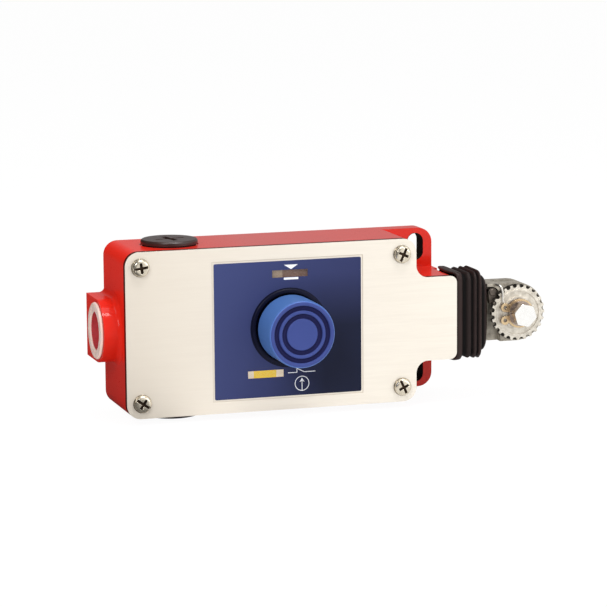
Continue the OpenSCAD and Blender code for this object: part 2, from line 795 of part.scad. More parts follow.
module pull_head() from_mounts() color(c_zamak) difference() {
    union() {
        depth(head_y0, head_y1) polygon(head_outline(head_x0, head_r));
        bar_x(shank_x0, head_x0 + 0.3, rod_y, 0, shank_r);
    }
    // Pocket for the pawl, open at the boot and below, round in its upper corner
    depth(head_y0 - 1, step_y) polygon(concat(
        [[head_x0 - 1, -head_r - 1], [step_x, -head_r - 1]],
        arc(step_x - pocket_r, pocket_top - pocket_r, pocket_r, 0, 90),
        [[head_x0 - 1, pocket_top]]
    ));
    // Rope gap between the two cheeks
    box(gap_x0, wheel_x + head_r + 1, gap_y0, gap_y1, -head_r - 1, head_r + 1);
    // Bores for the take-up shaft, rod, cross pin and pawl pin
    bar_y(head_y0 - 1, head_y1 + 1, wheel_x, 0, shaft_r + running);
    bar_x(shank_x0 - 1, rod_x1 + 0.2, rod_y, 0, rod_r + seat_play);
    bar_z(-shank_r - 1, shank_r + 1, pin_x, rod_y, pin_r + seat_play);
    bar_y(step_y - 1, step_y + pawl_pin_l + 0.2, pawl_x, pawl_z, pawl_pin_r + seat_play);
}

module double_d(r, half) intersection() {
    circle(r = r);
    square([2 * r + 2, 2 * half], center = true);
}

module drum_shaft() from_mounts() color(c_zamak) difference() {
    translate([wheel_x, 0, 0]) union() {
        // Wrench hexagon with a turned chamfer
        intersection() {
            translate([0, shaft_front, 0]) rotate([90, -hex_turn, 0])
                cylinder(r = hex_corner, h = hex_l, $fn = 6);
            rotate([-90, 0, 0]) rotate_extrude() polygon([[0, hex_front],
                [hex_corner - hex_chamfer, hex_front], [hex_corner + 0.2, hex_front + hex_chamfer + 0.2],
                [hex_corner + 0.2, shaft_front + 1], [0, shaft_front + 1]]);
        }
        // Keyed end with the circlip groove, then the plain journal and drum
        difference() {
            depth(shaft_front, head_y0) rotate(90) double_d(shaft_r, flat_half);
            rotate([-90, 0, 0]) rotate_extrude() polygon([[shaft_r - 0.5, clip_y],
                [shaft_r + 2, clip_y], [shaft_r + 2, clip_y + clip_t], [shaft_r - 0.5, clip_y + clip_t]]);
        }
        bar_y(head_y0, head_y1 + gap, 0, 0, shaft_r);
        bar_y(head_y1 + gap, head_y1 + gap + flange_t, 0, 0, flange_r);
    }
    bar_x(wheel_x - shaft_r - 1, wheel_x + shaft_r + 1, rod_y, 0, rope_hole_d / 2);
}

module ratchet_wheel() from_mounts() color(c_steel) translate([wheel_x, 0, 0]) difference() {
    union() {
        depth(wheel_y0, wheel_y1) circle(r = wheel_r);
        depth(wheel_y0 - ring_t, wheel_y0 + eps) difference() {
            circle(r = wheel_r - ring_out_in);
            circle(r = wheel_r - ring_in_in);
        }
        depth(wheel_y0 - hub_t, wheel_y0 + eps) circle(r = hub_r);
    }
    depth(wheel_y0 - 1, wheel_y1 + 1) rotate(90) double_d(shaft_r + seat_play, flat_half + seat_play);
    for (i = [0:notches - 1]) rotate([0, -(i * notch_step + pawl_angle), 0])
        translate([wheel_r - 0.3, 0, 0]) bar_y(wheel_y0 - 1, wheel_y1 + 1, 0, 0, notch_r);
}

module circlip() from_mounts() color(c_zinc) translate([wheel_x, 0, 0])
    depth(clip_y + clip_play, clip_y + clip_t - clip_play) difference() {
        union() {
            circle(r = shaft_r + clip_w);
            for (s = [-1, 1]) translate([-clip_lug[0], s * clip_lug[1]]) circle(r = clip_lug_r);
        }
        circle(r = shaft_r - clip_in);
        translate([-2 * shaft_r, -clip_slit]) square([2 * shaft_r, 2 * clip_slit]);
        for (s = [-1, 1]) translate([-clip_lug[0], s * clip_lug[1]]) circle(r = clip_eye_r);
    }

// Pawl: a lever behind the wheel whose nose pin reaches forward into a notch
module pawl() from_mounts() color(c_steel) {
    depth(pawl_y0, pawl_y1) difference() {
        polygon(concat(
            arc(pawl_x, pawl_z, pawl_eye_r, -5, 183),
            arc(nose[0], nose[1], pawl_end_r, 183, 355)
        ));
        translate([pawl_x, pawl_z]) circle(r = pawl_pin_r + running);
    }
    bar_y(wheel_y0 + 0.1, pawl_y0 + 0.5, nose[0], nose[1], nose_r);
}

module pawl_pin() from_mounts() color(c_steel) turned_y(pawl_x, pawl_z, [
    [0, pawl_y0 - 0.05 - pawl_head_t], [pawl_eye_r - 0.6, pawl_y0 - 0.05 - pawl_head_t],
    [pawl_eye_r - 0.3, pawl_y0 - 0.05], [pawl_pin_r, pawl_y0 - 0.05],
    [pawl_pin_r, step_y + pawl_pin_l], [0, step_y + pawl_pin_l]
]);

module pawl_spring() from_mounts() color(c_steel)
    translate([pawl_x, step_y - pawl_spring_gap, pawl_z]) rotate([90, 0, 0])
        coil(pawl_pin_r + 0.5, 0.2, step_y - pawl_y1 - 2 * pawl_spring_gap, 2.4, 6, 14);

// ---- Reset button ---------------------------------------------------------

// Soft cap: a cup with two moulded rings on its face
module reset_cap() from_mounts() color(c_blue) turned_y(button_x, 0, [
    [0, cap_front + 0.3], [disc_r, cap_front + 0.3],
    [disc_r + groove_slope, cap_front + groove_depth], [ring_in - groove_slope, cap_front + groove_depth],
    [ring_in, cap_front + 0.1], [ring_out, cap_front + 0.1],
    [ring_out + groove_slope, cap_front + groove_depth], [rim_in - groove_slope, cap_front + groove_depth],
    [rim_in, cap_front], [cap_r - 0.9, cap_front], [cap_r - 0.2, cap_front + 0.5], [cap_r, cap_front + 1.3],
    [cap_r, cap_base], [cap_r - cap_wall, cap_base], [cap_r - cap_wall, cap_inside], [0, cap_inside]
]);

module reset_plunger() from_mounts() color(c_black) turned_y(button_x, 0, [
    [0, cap_inside], [plunger_head_r, cap_inside],
    [plunger_head_r, cap_inside + plunger_head_t], [plunger_r - running, cap_inside + plunger_head_t],
    [plunger_r - running, stem_y], [stem_r, stem_y], [stem_r, nose_front - 1], [stem_r - 1, nose_front],
    [0, nose_front]
]);

module reset_collar() from_mounts() color(c_black) turned_y(button_x, 0, [
    [plunger_r, sleeve_front], [sleeve_r, sleeve_front], [sleeve_r, cup_floor], [cup_r, cup_floor],
    [cup_r, label_front - bezel_t], [bezel_r - 0.4, label_front - bezel_t],
    [bezel_r, label_front - bezel_t + 0.4], [bezel_r, label_front], [collar_r, label_front],
    [collar_r, nut_rear], [sleeve_r, nut_rear], [sleeve_r, sleeve_rear], [plunger_r, sleeve_rear]
]);

module collar_nut() from_mounts() color(c_black) depth(plate_t, nut_rear)
    translate([button_x, 0]) difference() {
        circle(r = nut_r);
        circle(r = collar_r + seat_play);
    }

module return_spring() from_mounts() color(c_steel)
    translate([button_x, cup_floor - spring_gap / 2, 0]) rotate([90, 0, 0])
        coil(sleeve_r + 1.4, spring_gauge, cup_floor - spring_gap - cap_inside, 5, 6, 18);

// ---- Latch, flag and contacts ---------------------------------------------

// Bell crank: the button pushes one arm back, the other carries the flag
module latch_lever() from_mounts() color(c_zinc) difference() {
    union() {
        bar_z(crank_z0, arm_z, latch_x, latch_y, latch_r);
        box(button_x - arm_half, latch_x, arm_y, arm_y + arm_t, -arm_z, arm_z);
        box(latch_x - latch_r, latch_x, arm_y, latch_y, -arm_z, arm_z);
        box(latch_x - crank_half, latch_x + crank_half, flag_y + strip_t + 0.8, latch_y, crank_z0, crank_z1);
    }
    bar_z(crank_z0 - 1, arm_z + 1, latch_x, latch_y, latch_pin_r + running);
}

module latch_pin() from_mounts() color(c_steel)
    bar_z(crank_z0 - latch_pin_out, arm_z + latch_pin_out, latch_x, latch_y, latch_pin_r);

// Strip behind the lower window with a fork for the bell crank
module state_flag() from_mounts() color(c_yellow) {
    box(flag_x0, latch_x + prong_half + prong_t, flag_y, flag_y + strip_t, flag_z0, flag_z1);
    for (s = [-1, 1]) translate([latch_x + s * (prong_half + prong_t / 2), 0, 0])
        box(-prong_t / 2, prong_t / 2, flag_y, flag_y + strip_t + prong_l, flag_z0, crank_z1);
}

// Bracket on the floor with the lugs of the latch pin
module mechanism_frame() from_mounts() color(c_steel) difference() {
    union() {
        box(block_x0 - 1, latch_x + bracket_out, bracket_y, floor_y, -block_out, block_out);
        for (z = [crank_z0 - gap - lug_t, arm_z + gap])
            box(latch_x - lug_half, latch_x + lug_half, latch_y - lug_half, bracket_y + 0.5, z, z + lug_t);
    }
    bar_z(crank_z0 - 4, arm_z + 4, latch_x, latch_y, latch_pin_r + seat_play);
    for (p = frame_screw_at) bar_y(bracket_y - 1, floor_y + 1, p[0], p[1], frame_screw_r + 0.1);
}

module frame_screws() from_mounts() color(c_zinc) for (p = frame_screw_at)
    translate([p[0], bracket_y, p[1]]) rotate([90, 0, 0]) {
        pan_head(frame_screw_r + 1.3, 1.8);
        translate([0, 0, -bracket_t + 0.05]) cylinder(r = frame_screw_r, h = bracket_t);
    }

module contact_block() difference() {
    depth(block_y0, bracket_y) polygon(rounded(block_x0, block_x1, block_in, block_out, block_edge, 4));
    bar_z(block_in - 1, tip_in + tip_l + ramp_slope * pull_travel + 0.6, contact_x, rod_y, tip_r + running);
    for (x = terminal_xs) bar_y(block_y0 - 1, block_y0 + terminal_l + 0.4, x, terminal_z, terminal_bore);
    box(block_x0 - 1, block_x0 + wire_slot[0], block_y0 - 1, block_y0 + wire_slot[1],
        block_in + wire_slot[2], block_in + 2 * wire_slot[2]);
}
module contact_block_top() from_mounts() color(c_black) contact_block();
module contact_block_bottom() from_mounts() color(c_black) mirror([0, 0, 1]) contact_block();

module contact_plunger() translate([contact_x, rod_y, tip_in]) rotate_extrude()
    polygon(concat([for (a = [-90:15:0]) [tip_r * cos(a) + (a == -90 ? -tip_r * cos(a) : 0),
        tip_r + tip_r * sin(a)]], [[tip_r, tip_l], [0, tip_l]]));
module contact_plunger_top() from_mounts() color(c_yellow) contact_plunger();
module contact_plunger_bottom() from_mounts() color(c_yellow) mirror([0, 0, 1]) contact_plunger();

module terminal_screws() from_mounts() color(c_zinc) for (s = [-1, 1], x = terminal_xs)
    translate([x, block_y0, s * terminal_z]) rotate([90, 0, 0]) {
        pan_head(terminal_r, 1.3);
        translate([0, 0, -terminal_l]) cylinder(r = terminal_bore - seat_play, h = terminal_l + 0.1);
    }

module earth_screw() from_mounts() color(c_zinc)
    translate([earth_x, floor_y - earth_h, earth_z]) rotate([90, 0, 0]) {
        pan_head(earth_r - 0.4, 2.2);
        translate([0, 0, 1.5 - earth_h]) cylinder(r = screw_r, h = earth_h - 1.4);
    }

housing();
cover_gasket();
cover_plate();
cover_screws();
screw_washers();
front_label();
tension_window();
state_window();
indicator_guides();
top_plug();
bottom_plug();
plug_seals();
dust_cap();
guide_bush();
boot();
pull_rod();
pull_head();
rod_pin();
rod_nut();
cam_slide();
spring_seat();
main_spring();
tension_indicator();
drum_shaft();
ratchet_wheel();
circlip();
pawl();
pawl_pin();
pawl_spring();
reset_cap();
reset_plunger();
reset_collar();
collar_nut();
return_spring();
latch_lever();
latch_pin();
state_flag();
mechanism_frame();
frame_screws();
contact_block_top();
contact_block_bottom();
contact_plunger_top();
contact_plunger_bottom();
terminal_screws();
earth_screw();
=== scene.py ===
# %% [markdown]
# # Rope pull switch
# The switch arrives as a packed frame: every piece at its real size and place, in
# metres. This script gives the pieces their looks. It copies the hard pieces and
# rounds their edges, models the soft ones anew, prints the label, paints every
# surface with a procedural finish and sets up the studio. Nothing of the frame
# is moved or resized.

# %% Load the frame
import json
from math import cos, degrees, pi, radians, sin

import bmesh
import bpy
from mathutils import Matrix, Vector


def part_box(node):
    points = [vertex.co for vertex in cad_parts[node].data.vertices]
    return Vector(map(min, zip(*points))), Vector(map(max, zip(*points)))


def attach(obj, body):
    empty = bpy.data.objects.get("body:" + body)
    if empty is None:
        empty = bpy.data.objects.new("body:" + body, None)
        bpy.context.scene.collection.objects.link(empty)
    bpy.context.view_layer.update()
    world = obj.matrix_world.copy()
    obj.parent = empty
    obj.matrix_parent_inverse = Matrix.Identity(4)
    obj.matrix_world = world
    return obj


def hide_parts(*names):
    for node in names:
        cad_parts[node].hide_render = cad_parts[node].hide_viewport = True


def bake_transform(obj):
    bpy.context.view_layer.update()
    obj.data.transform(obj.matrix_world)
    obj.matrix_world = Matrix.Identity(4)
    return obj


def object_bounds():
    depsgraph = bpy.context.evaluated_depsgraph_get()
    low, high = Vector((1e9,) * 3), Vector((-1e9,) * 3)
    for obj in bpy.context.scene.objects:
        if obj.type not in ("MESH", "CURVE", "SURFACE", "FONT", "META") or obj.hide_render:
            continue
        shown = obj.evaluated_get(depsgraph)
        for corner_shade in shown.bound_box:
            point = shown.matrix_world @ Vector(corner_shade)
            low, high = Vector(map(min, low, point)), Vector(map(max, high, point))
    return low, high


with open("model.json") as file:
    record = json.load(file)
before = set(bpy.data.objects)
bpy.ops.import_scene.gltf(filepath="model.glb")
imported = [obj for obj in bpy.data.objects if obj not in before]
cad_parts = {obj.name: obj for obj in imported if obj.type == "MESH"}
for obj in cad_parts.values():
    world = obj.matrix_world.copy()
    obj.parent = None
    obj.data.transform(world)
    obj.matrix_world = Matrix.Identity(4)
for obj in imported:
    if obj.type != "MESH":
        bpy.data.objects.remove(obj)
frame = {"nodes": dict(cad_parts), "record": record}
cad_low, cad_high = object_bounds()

MM = 0.001
record = frame["record"]
body_of = {n: b for b, nodes in record["behaviour"]["bodies"].items() for n in nodes}


# %% [markdown]
# ## Where things are
# Places could be typed in, but then they would be wrong as soon as the part
# changes. So they come from the boxes of the packed pieces. `Span` reads one
# piece's box and gives its corners, centre and size.

# %% Measure the pieces that others refer to
class Span:
    """The box of one packed piece at rest."""

    def __init__(self, node):
        self.low, self.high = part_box(node)
        self.centre = (self.low + self.high) / 2
        self.size = self.high - self.low


plate = Span("cover_plate")
label = Span("front_label")
cap = Span("reset_cap")
collar = Span("reset_collar")
entry = Span("dust_cap")
wheel = Span("ratchet_wheel")
print("plate", [round(v / MM, 1) for v in plate.size], "mm")


# %% [markdown]
# ## Copies with softened edges
# A packed piece is a mesh of loose triangles with knife-sharp edges. Real
# castings, stampings and mouldings have small radii that catch the light. A Bevel
# modifier on the packed piece would bevel its triangles too, and the packed mesh
# must not change. So a visible hard piece is copied, its triangles are welded and
# merged into flat faces, and every sharp edge gets a narrow bevel. The Weighted
# Normal modifier then keeps the large faces flat in the shading.

# %% Helpers for meshes
WELD = 0.002 * MM
FLAT_ANGLE = radians(0.6)
SHARP_ANGLE = radians(32)


def welded(node):
    """A bmesh copy of a packed piece whose triangles share their corners."""
    bm = bmesh.new()
    bm.from_mesh(frame["nodes"][node].data)
    bmesh.ops.remove_doubles(bm, verts=bm.verts, dist=WELD)
    return bm


def flat_copy(node):
    """A welded copy whose flat areas are merged into single faces."""
    bm = welded(node)
    bmesh.ops.dissolve_limit(bm, angle_limit=FLAT_ANGLE, verts=bm.verts, edges=bm.edges)
    return bm


def soften(bm, width, segments):
    """Bevels every edge that turns sharply."""
    edges = [e for e in bm.edges if e.is_manifold and e.calc_face_angle() > SHARP_ANGLE]
    bmesh.ops.bevel(
        bm, geom=edges, offset=width, offset_type="OFFSET", segments=segments,
        profile=0.5, affect="EDGES", clamp_overlap=True, material=-1)


def link_mesh(name, bm, material):
    """Turns a bmesh into an object of the scene."""
    mesh = bpy.data.meshes.new(name)
    bm.to_mesh(mesh)
    bm.free()
    mesh.materials.append(material)
    obj = bpy.data.objects.new(name, mesh)
    bpy.context.scene.collection.objects.link(obj)
    return obj


def make_piece(name, bm, material, body=None, stands_for=(), flat=True, sharp=50):
    """Makes a finished piece that rides on a body and may stand for packed pieces."""
    obj = link_mesh(name, bm, material)
    obj.data.shade_smooth()
    obj.data.set_sharp_from_angle(angle=radians(sharp))
    if flat:
        weighted = obj.modifiers.new("flat faces", "WEIGHTED_NORMAL")
        weighted.keep_sharp = True
        weighted.weight = 90
    if body:
        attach(obj, body)
    if stands_for:
        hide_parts(*stands_for)
    return obj


print("edges that turn by more than", round(degrees(SHARP_ANGLE)), "degrees get a bevel")


# %% [markdown]
# ## A small language for finishes
# Each finish is a Principled shader with a few nodes in front of it. Written node
# by node, that takes a page for each surface. `Wire` wraps an output socket, so
# that a sum such as `1 - mask` adds its own Math nodes, and `Tree.add` makes any
# other node from its type, its settings and its inputs.

# %% Wire
class Wire:
    """One output socket; numbers and wires combine with + - * / and **."""

    def __init__(self, tree, socket):
        self.tree = tree
        self.socket = socket

    def math(self, operation, *values):
        return self.tree.add("Math", {"operation": operation}, dict(enumerate(values)))

    def __add__(self, other):
        return self.math("ADD", self, other)

    def __radd__(self, other):
        return self.math("ADD", other, self)

    def __sub__(self, other):
        return self.math("SUBTRACT", self, other)

    def __rsub__(self, other):
        return self.math("SUBTRACT", other, self)

    def __mul__(self, other):
        return self.math("MULTIPLY", self, other)

    def __rmul__(self, other):
        return self.math("MULTIPLY", other, self)

    def __truediv__(self, other):
        return self.math("DIVIDE", self, other)

    def __pow__(self, other):
        return self.math("POWER", self, other)

    def size(self):
        return self.math("ABSOLUTE", self)

    def less(self, other):
        return self.math("LESS_THAN", self, other)

    def more(self, other):
        return self.math("GREATER_THAN", self, other)

    def larger(self, other):
        return self.math("MAXIMUM", self, other)

    def clamp(self):
        return self.tree.add("Clamp", {}, {"Value": self})

    def contrast(self, gain):
        """Spreads a noise about its middle and cuts it off at 0 and 1."""
        return ((self - 0.5) * gain + 0.5).clamp()


def from_axis(first, second):
    """How far a place is from an axis, out of its two offsets across that axis."""
    return (first ** 2 + second ** 2) ** 0.5


print("a wire knows", sorted(name for name in vars(Wire) if not name.startswith("_")))



# %% [markdown]
# ## Trees and finishes
# On the real object a finish is paint, plating or bare metal. In Blender it is a
# node tree round one Principled shader. All of it could be one class, but the room
# needs the same short ways on trees that have no such shader. So `Tree` holds what
# every node tree needs, and `Finish` adds what only a surface has: its place on
# the piece, noise and bump.

# %% Tree and Finish
class Tree:
    """A node tree, with short ways to the nodes that are used often."""

    def __init__(self, graph):
        self.graph = graph

    def add(self, kind, settings=None, inputs=None, out=0):
        """Any node: its settings are set first, then its inputs are given or linked."""
        node = self.graph.nodes.new("ShaderNode" + kind)
        for key, value in (settings or {}).items():
            setattr(node, key, value)
        for key, value in (inputs or {}).items():
            self.feed(node.inputs[key], value)
        return Wire(self, node.outputs[out])

    def feed(self, socket, value):
        """Links a wire to a socket or sets a plain value; a colour gets its alpha."""
        if isinstance(value, Wire):
            self.graph.links.new(value.socket, socket)
        elif isinstance(value, tuple) and len(value) < len(socket.default_value):
            socket.default_value = (*value, 1)
        else:
            socket.default_value = value

    def axes(self, place):
        """The three coordinates of a vector as separate wires."""
        node = self.add("SeparateXYZ", inputs={0: place}).socket.node
        return [Wire(self, output) for output in node.outputs]

    def mix(self, factor, first, second):
        """Mixes two colours."""
        return self.add("Mix", {"data_type": "RGBA"}, {0: factor, 6: first, 7: second}, out=2)

    def ease(self, value, start, end, low, high):
        """Goes smoothly from low, where value is at start, to high at end."""
        return self.add("MapRange", {"interpolation_type": "SMOOTHSTEP"}, {
            "Value": value, "From Min": start, "From Max": end, "To Min": low, "To Max": high})


class Finish(Tree):
    """A procedural material, built round one Principled shader."""

    def __init__(self, name, **fixed):
        self.material = bpy.data.materials.new(name)
        self.material.use_nodes = True
        super().__init__(self.material.node_tree)
        self.shader = self.graph.nodes["Principled BSDF"]
        self.set(**fixed)
        self.place = self.add("TexCoord", out="Object")

    def set(self, **values):
        """Feeds the sockets of the Principled shader."""
        for socket, value in values.items():
            self.feed(self.shader.inputs[socket.replace("_", " ")], value)

    def noise(self, per_mm, detail=2.0, stretch=(1, 1, 1), roughness=0.5):
        """Noise with so many blobs per millimetre, stretched along the axes."""
        place = self.add("Mapping", inputs={"Vector": self.place, "Scale": stretch})
        return self.add("TexNoise", inputs={
            "Vector": place, "Scale": per_mm / MM, "Detail": detail, "Roughness": roughness})

    def range(self, value, low, high):
        """Spreads a 0 to 1 value over low to high."""
        return value * (high - low) + low

    def bump(self, height, strength, depth_mm):
        """Feeds a height from 0 to 1 into the normal."""
        self.set(Normal=self.add("Bump", inputs={
            "Strength": strength, "Distance": depth_mm * MM, "Height": height}))

    def done(self):
        """Says what was made and hands over the material."""
        print("finish", self.material.name, "with", len(self.graph.nodes), "nodes")
        return self.material


print("a finish adds", sorted(name for name in vars(Finish) if not name.startswith("_")))


# %% [markdown]
# ## Powder-coated casting
# The case is a die casting with a glossy red powder coat. Up close such a coat has a faint
# orange-peel ripple and small changes of shade. A plain red with low roughness would look like toy
# plastic. So a coat layer gives the wet gloss, a fine noise the ripple and a slow noise the shade.
# Masks made from the place paint light and shade into it: the walls of the two mounting slots are
# painted near black as shade, a painted shadow line runs along the seam behind the front plate, the
# red is painted lighter at the left end and darker toward the foot of that end, and the coat weight
# is set by place to paint the sheen of the top.

# %% Case finish
SLOT_OFFSET = 26.9 * MM      # from the middle of the case to the middle of a slot
SLOT_STRAIGHT = 2.25 * MM    # half the straight part of a slot
SLOT_REACH = 3.68 * MM       # just past the wall of a slot
SEAM = 0.7 * MM
case_front = Span("cover_gasket").high.y


def case_red():
    f = Finish("powder_coat_red", Specular_IOR_Level=0.05, Coat_Roughness=0.07)
    cloud = f.noise(0.05, 3)
    peel = f.noise(1.4, 1)
    x, y, z = f.axes(f.place)
    along_slot = ((z.size() - SLOT_OFFSET).size() - SLOT_STRAIGHT).larger(0)
    # painted shade: the walls of the mounting slots go near black
    slot_shade = from_axis(x, along_slot).less(SLOT_REACH)
    # painted shadow: the case goes dark along the seam behind the front plate
    seam_shade = y.less(case_front + SEAM)
    across = (x - plate.low.x) / plate.size.x
    # painted light and shade: the red is lighter at the left end and darker toward its foot
    at_left = 1 - (across / 0.3).clamp()
    foot_shade = (0.35 - z / plate.size.z).clamp() * at_left
    shade = f.mix(cloud, (0.58, 0.015, 0.006), (0.68, 0.023, 0.011))
    shade = f.mix(at_left, shade, (0.74, 0.020, 0.009))
    shade = f.mix(foot_shade * 0.8, shade, (0.34, 0.008, 0.003))
    shade = f.mix(seam_shade * 0.85, shade, (0.035, 0.006, 0.004))
    # The coat weight is set by place to paint the sheen of the top: least at the left end, most a
    # little left of the middle
    coat = (across / 0.4).clamp() * 0.55 - ((across - 0.4) / 0.6).clamp() * 0.25 + 0.2
    f.set(Base_Color=f.mix(slot_shade, shade, (0.012, 0.006, 0.005)))
    f.set(Roughness=f.range(peel, 0.24, 0.36) + slot_shade * 0.5)
    f.set(Coat_Weight=coat * (1 - slot_shade) * (1 - seam_shade * 0.8))
    f.bump(peel, 0.12, 0.04)
    return f.done()


red = case_red()


# %% [markdown]
# ## Brushed plate
# The front plate is stamped steel with a fine brush along its length. Scratches could be modelled
# one by one, but at this size a noise does it, squeezed hard across the grain: a fine one tilts the
# normal by a hair and varies the shade, and a coarser one leaves the faint streaks. The rim is
# painted near black as shade, a painted shade line runs round the label where the die pressed its
# place, and the plate is painted darker toward its left end.

# %% Plate finish
RIM_FROM = 0.1 * MM
LABEL_MARGIN = 1.0 * MM
HAIRLINE_AT = 0.75 * MM
HAIRLINE = 0.4 * MM


def plate_steel():
    f = Finish("brushed_cream_steel")
    grain = f.noise(6, 2, stretch=(0.02, 1, 1))
    cloud = f.noise(0.03, 3, stretch=(0.5, 1, 1))
    streak = f.noise(0.8, 2, stretch=(0.05, 1, 1)).contrast(3)
    x, y, z = f.axes(f.place)
    # How far a place is outside the label's outline
    past_x = (x - label.centre.x).size() - label.size.x / 2
    past_z = (z - label.centre.z).size() - label.size.z / 2
    past_label = past_x.larger(past_z)
    # painted shade: the plate's rim goes near black
    painted_rim = y.more(plate.low.y + RIM_FROM) * past_label.more(LABEL_MARGIN)
    # painted shade: a dark line round the label, where the die pressed its place
    hairline_shade = (past_label - HAIRLINE_AT).size().less(HAIRLINE / 2)
    across = (x - plate.low.x) / plate.size.x
    shade = f.mix(grain, (0.80, 0.738, 0.642), (0.90, 0.843, 0.75))
    shade = f.mix(cloud * 0.35, shade, (0.86, 0.825, 0.755))
    shade = f.mix(streak * 0.18, shade, (0.70, 0.63, 0.55))
    shade = f.mix(hairline_shade * 0.55, shade, (0.42, 0.33, 0.24))
    # painted shade: the plate darkens toward its left end
    shade = f.mix((1 - across) * 0.7, shade, (0.78, 0.70, 0.595))
    f.set(Base_Color=f.mix(painted_rim, shade, (0.025, 0.008, 0.005)))
    f.set(Metallic=0.55 - painted_rim * 0.5)
    f.set(Roughness=f.range(grain, 0.34, 0.50))
    f.bump(grain, 0.10, 0.02)
    return f.done()


cream = plate_steel()


# %% [markdown]
# ## Plated and turned metal
# Zinc, nickel and turned steel differ in tint and gloss more than in texture. So one function
# serves them all: slight clouds in shade and gloss over a metal. The stamped retaining ring gets
# its own, because its walls are painted dark brown as shade. Those walls are found by the normal,
# which has no part along the axis.

# %% Bright metals
WALL = 0.6    # a normal with less than this along Y belongs to a wall


def bright_metal(name, dark, light, low=0.18, high=0.34):
    """Plated or turned metal: slight clouds in shade and gloss."""
    f = Finish(name, Metallic=1.0)
    cloud = f.noise(0.8, 3)
    f.set(Base_Color=f.mix(cloud, dark, light), Roughness=f.range(cloud, low, high))
    f.bump(cloud, 0.2, 0.01)
    return f.done()


def plated_ring():
    f = Finish("yellow_zinc_ring", Metallic=1.0)
    cloud = f.noise(0.8, 3)
    # painted shade: the ring's walls go dark brown
    wall_shade = f.axes(f.add("TexCoord", out="Normal"))[1].size().less(WALL)
    zinc = f.mix(cloud, (0.64, 0.44, 0.235), (0.83, 0.66, 0.42))
    f.set(Base_Color=f.mix(wall_shade, zinc, (0.09, 0.035, 0.018)), Roughness=f.range(cloud, 0.2, 0.34))
    return f.done()


washer_nickel = bright_metal("washer_nickel", (0.30, 0.27, 0.22), (0.46, 0.42, 0.35))
gold_zinc = bright_metal("yellow_zinc", (0.62, 0.44, 0.19), (0.84, 0.66, 0.36), 0.2, 0.34)
clear_zinc = bright_metal("clear_zinc", (0.55, 0.57, 0.60), (0.75, 0.76, 0.78))
drawn = bright_metal("drawn_steel", (0.50, 0.50, 0.50), (0.66, 0.66, 0.65))
spring_wire = bright_metal("spring_wire", (0.25, 0.26, 0.28), (0.40, 0.41, 0.43), 0.25, 0.4)
bronze = bright_metal("sintered_bronze", (0.48, 0.30, 0.13), (0.62, 0.42, 0.20), 0.4, 0.6)
# painted shade: the pawl's steel is made dark brown, for the shade of the pocket it lies in
pawl_steel = bright_metal("pawl_steel", (0.085, 0.070, 0.058), (0.20, 0.17, 0.145), 0.35, 0.5)
# partly a painted highlight: the leg's wire is bright where the head's edge shows a highlight
leg_wire = bright_metal("wire_steel", (0.74, 0.70, 0.63), (0.88, 0.85, 0.79), 0.3, 0.42)
ring_zinc = plated_ring()


# %% [markdown]
# ## Castings
# The rope head is blasted zinc and the ratchet wheel is sintered steel, both dull and grainy, and
# their covered corners are painted dark as shade. The shade could be painted by hand, but it lies
# where the form is covered, and a formula says that as well. So each casting hands over a small
# function of the place: the disc behind the wheel on the head, and the depth of the notches on the
# wheel.

# %% Castings
PAINTED_SHADE = (0.020, 0.016, 0.013)


def cast_metal(name, dark, light, metallic, shaded):
    """Blasted casting with a fine grain; shaded(x, y, z) says where shade is painted in."""
    f = Finish(name, Metallic=metallic)
    grain = f.noise(3.2, 4, roughness=0.7)
    cloud = f.noise(0.45, 3).contrast(2.2)
    # painted shade: where shaded says, the colour goes near black
    in_shade = shaded(*f.axes(f.place)) * 0.9
    f.set(Base_Color=f.mix(in_shade, f.mix(cloud, dark, light), PAINTED_SHADE))
    f.set(Roughness=f.range(grain, 0.38, 0.62))
    f.bump(grain, 0.35, 0.08)
    return f.done()


def under_wheel(x, y, z):
    """The disc of the head's front that the wheel covers."""
    return from_axis(x - wheel.centre.x, z).less(wheel.size.x / 2) * y.less(wheel.high.y + 0.8 * MM)


def behind_rim(x, y, z):
    """The back of the wheel and the depth of its notches."""
    return y.more(wheel.low.y + 1.5 * MM)


zamak = cast_metal(
    "zinc_casting", (0.235, 0.208, 0.168), (0.55, 0.505, 0.425), 0.6, under_wheel)
wheel_steel = cast_metal(
    "wheel_steel", (0.52, 0.475, 0.40), (0.84, 0.79, 0.70), 0.8, behind_rim)



# %% [markdown]
# ## Screws and shaft
# The cover screws are nickel plated, and their drive recesses are painted dark as shade. The shaft
# has a faced end that shines, and its sides are painted darker and browner than that end as shade.
# A second material on some faces would need those faces to be picked, and the pick breaks when the
# part changes. So a mask asks how deep a place lies below the front of its piece.

# %% Screws and shaft
SCREW_HEAD_R = 3.65 * MM
RECESS_DEPTH = 0.5 * MM
FACED_DEPTH = 0.22 * MM


def screw_nickel(box, head_r):
    """Nickel heads at the four corners of the box, their drive recesses painted in dark shade."""
    f = Finish("screw_nickel", Metallic=0.9)
    cloud = f.noise(0.9, 3)
    x, y, z = f.axes(f.place)
    across = (x - box.centre.x).size() - (box.size.x / 2 - head_r)
    up = (z - box.centre.z).size() - (box.size.z / 2 - head_r)
    near = from_axis(across, up).less(0.84 * head_r)
    # painted shade: the drive recesses go near black
    deep = near * (y - box.low.y).more(RECESS_DEPTH)
    shine = f.mix(cloud, (0.54, 0.47, 0.36), (0.86, 0.79, 0.66))
    f.set(Base_Color=f.mix(deep, shine, (0.060, 0.038, 0.024)))
    f.set(Roughness=f.range(cloud, 0.16, 0.32) + deep * 0.4)
    f.bump(cloud, 0.2, 0.01)
    return f.done()


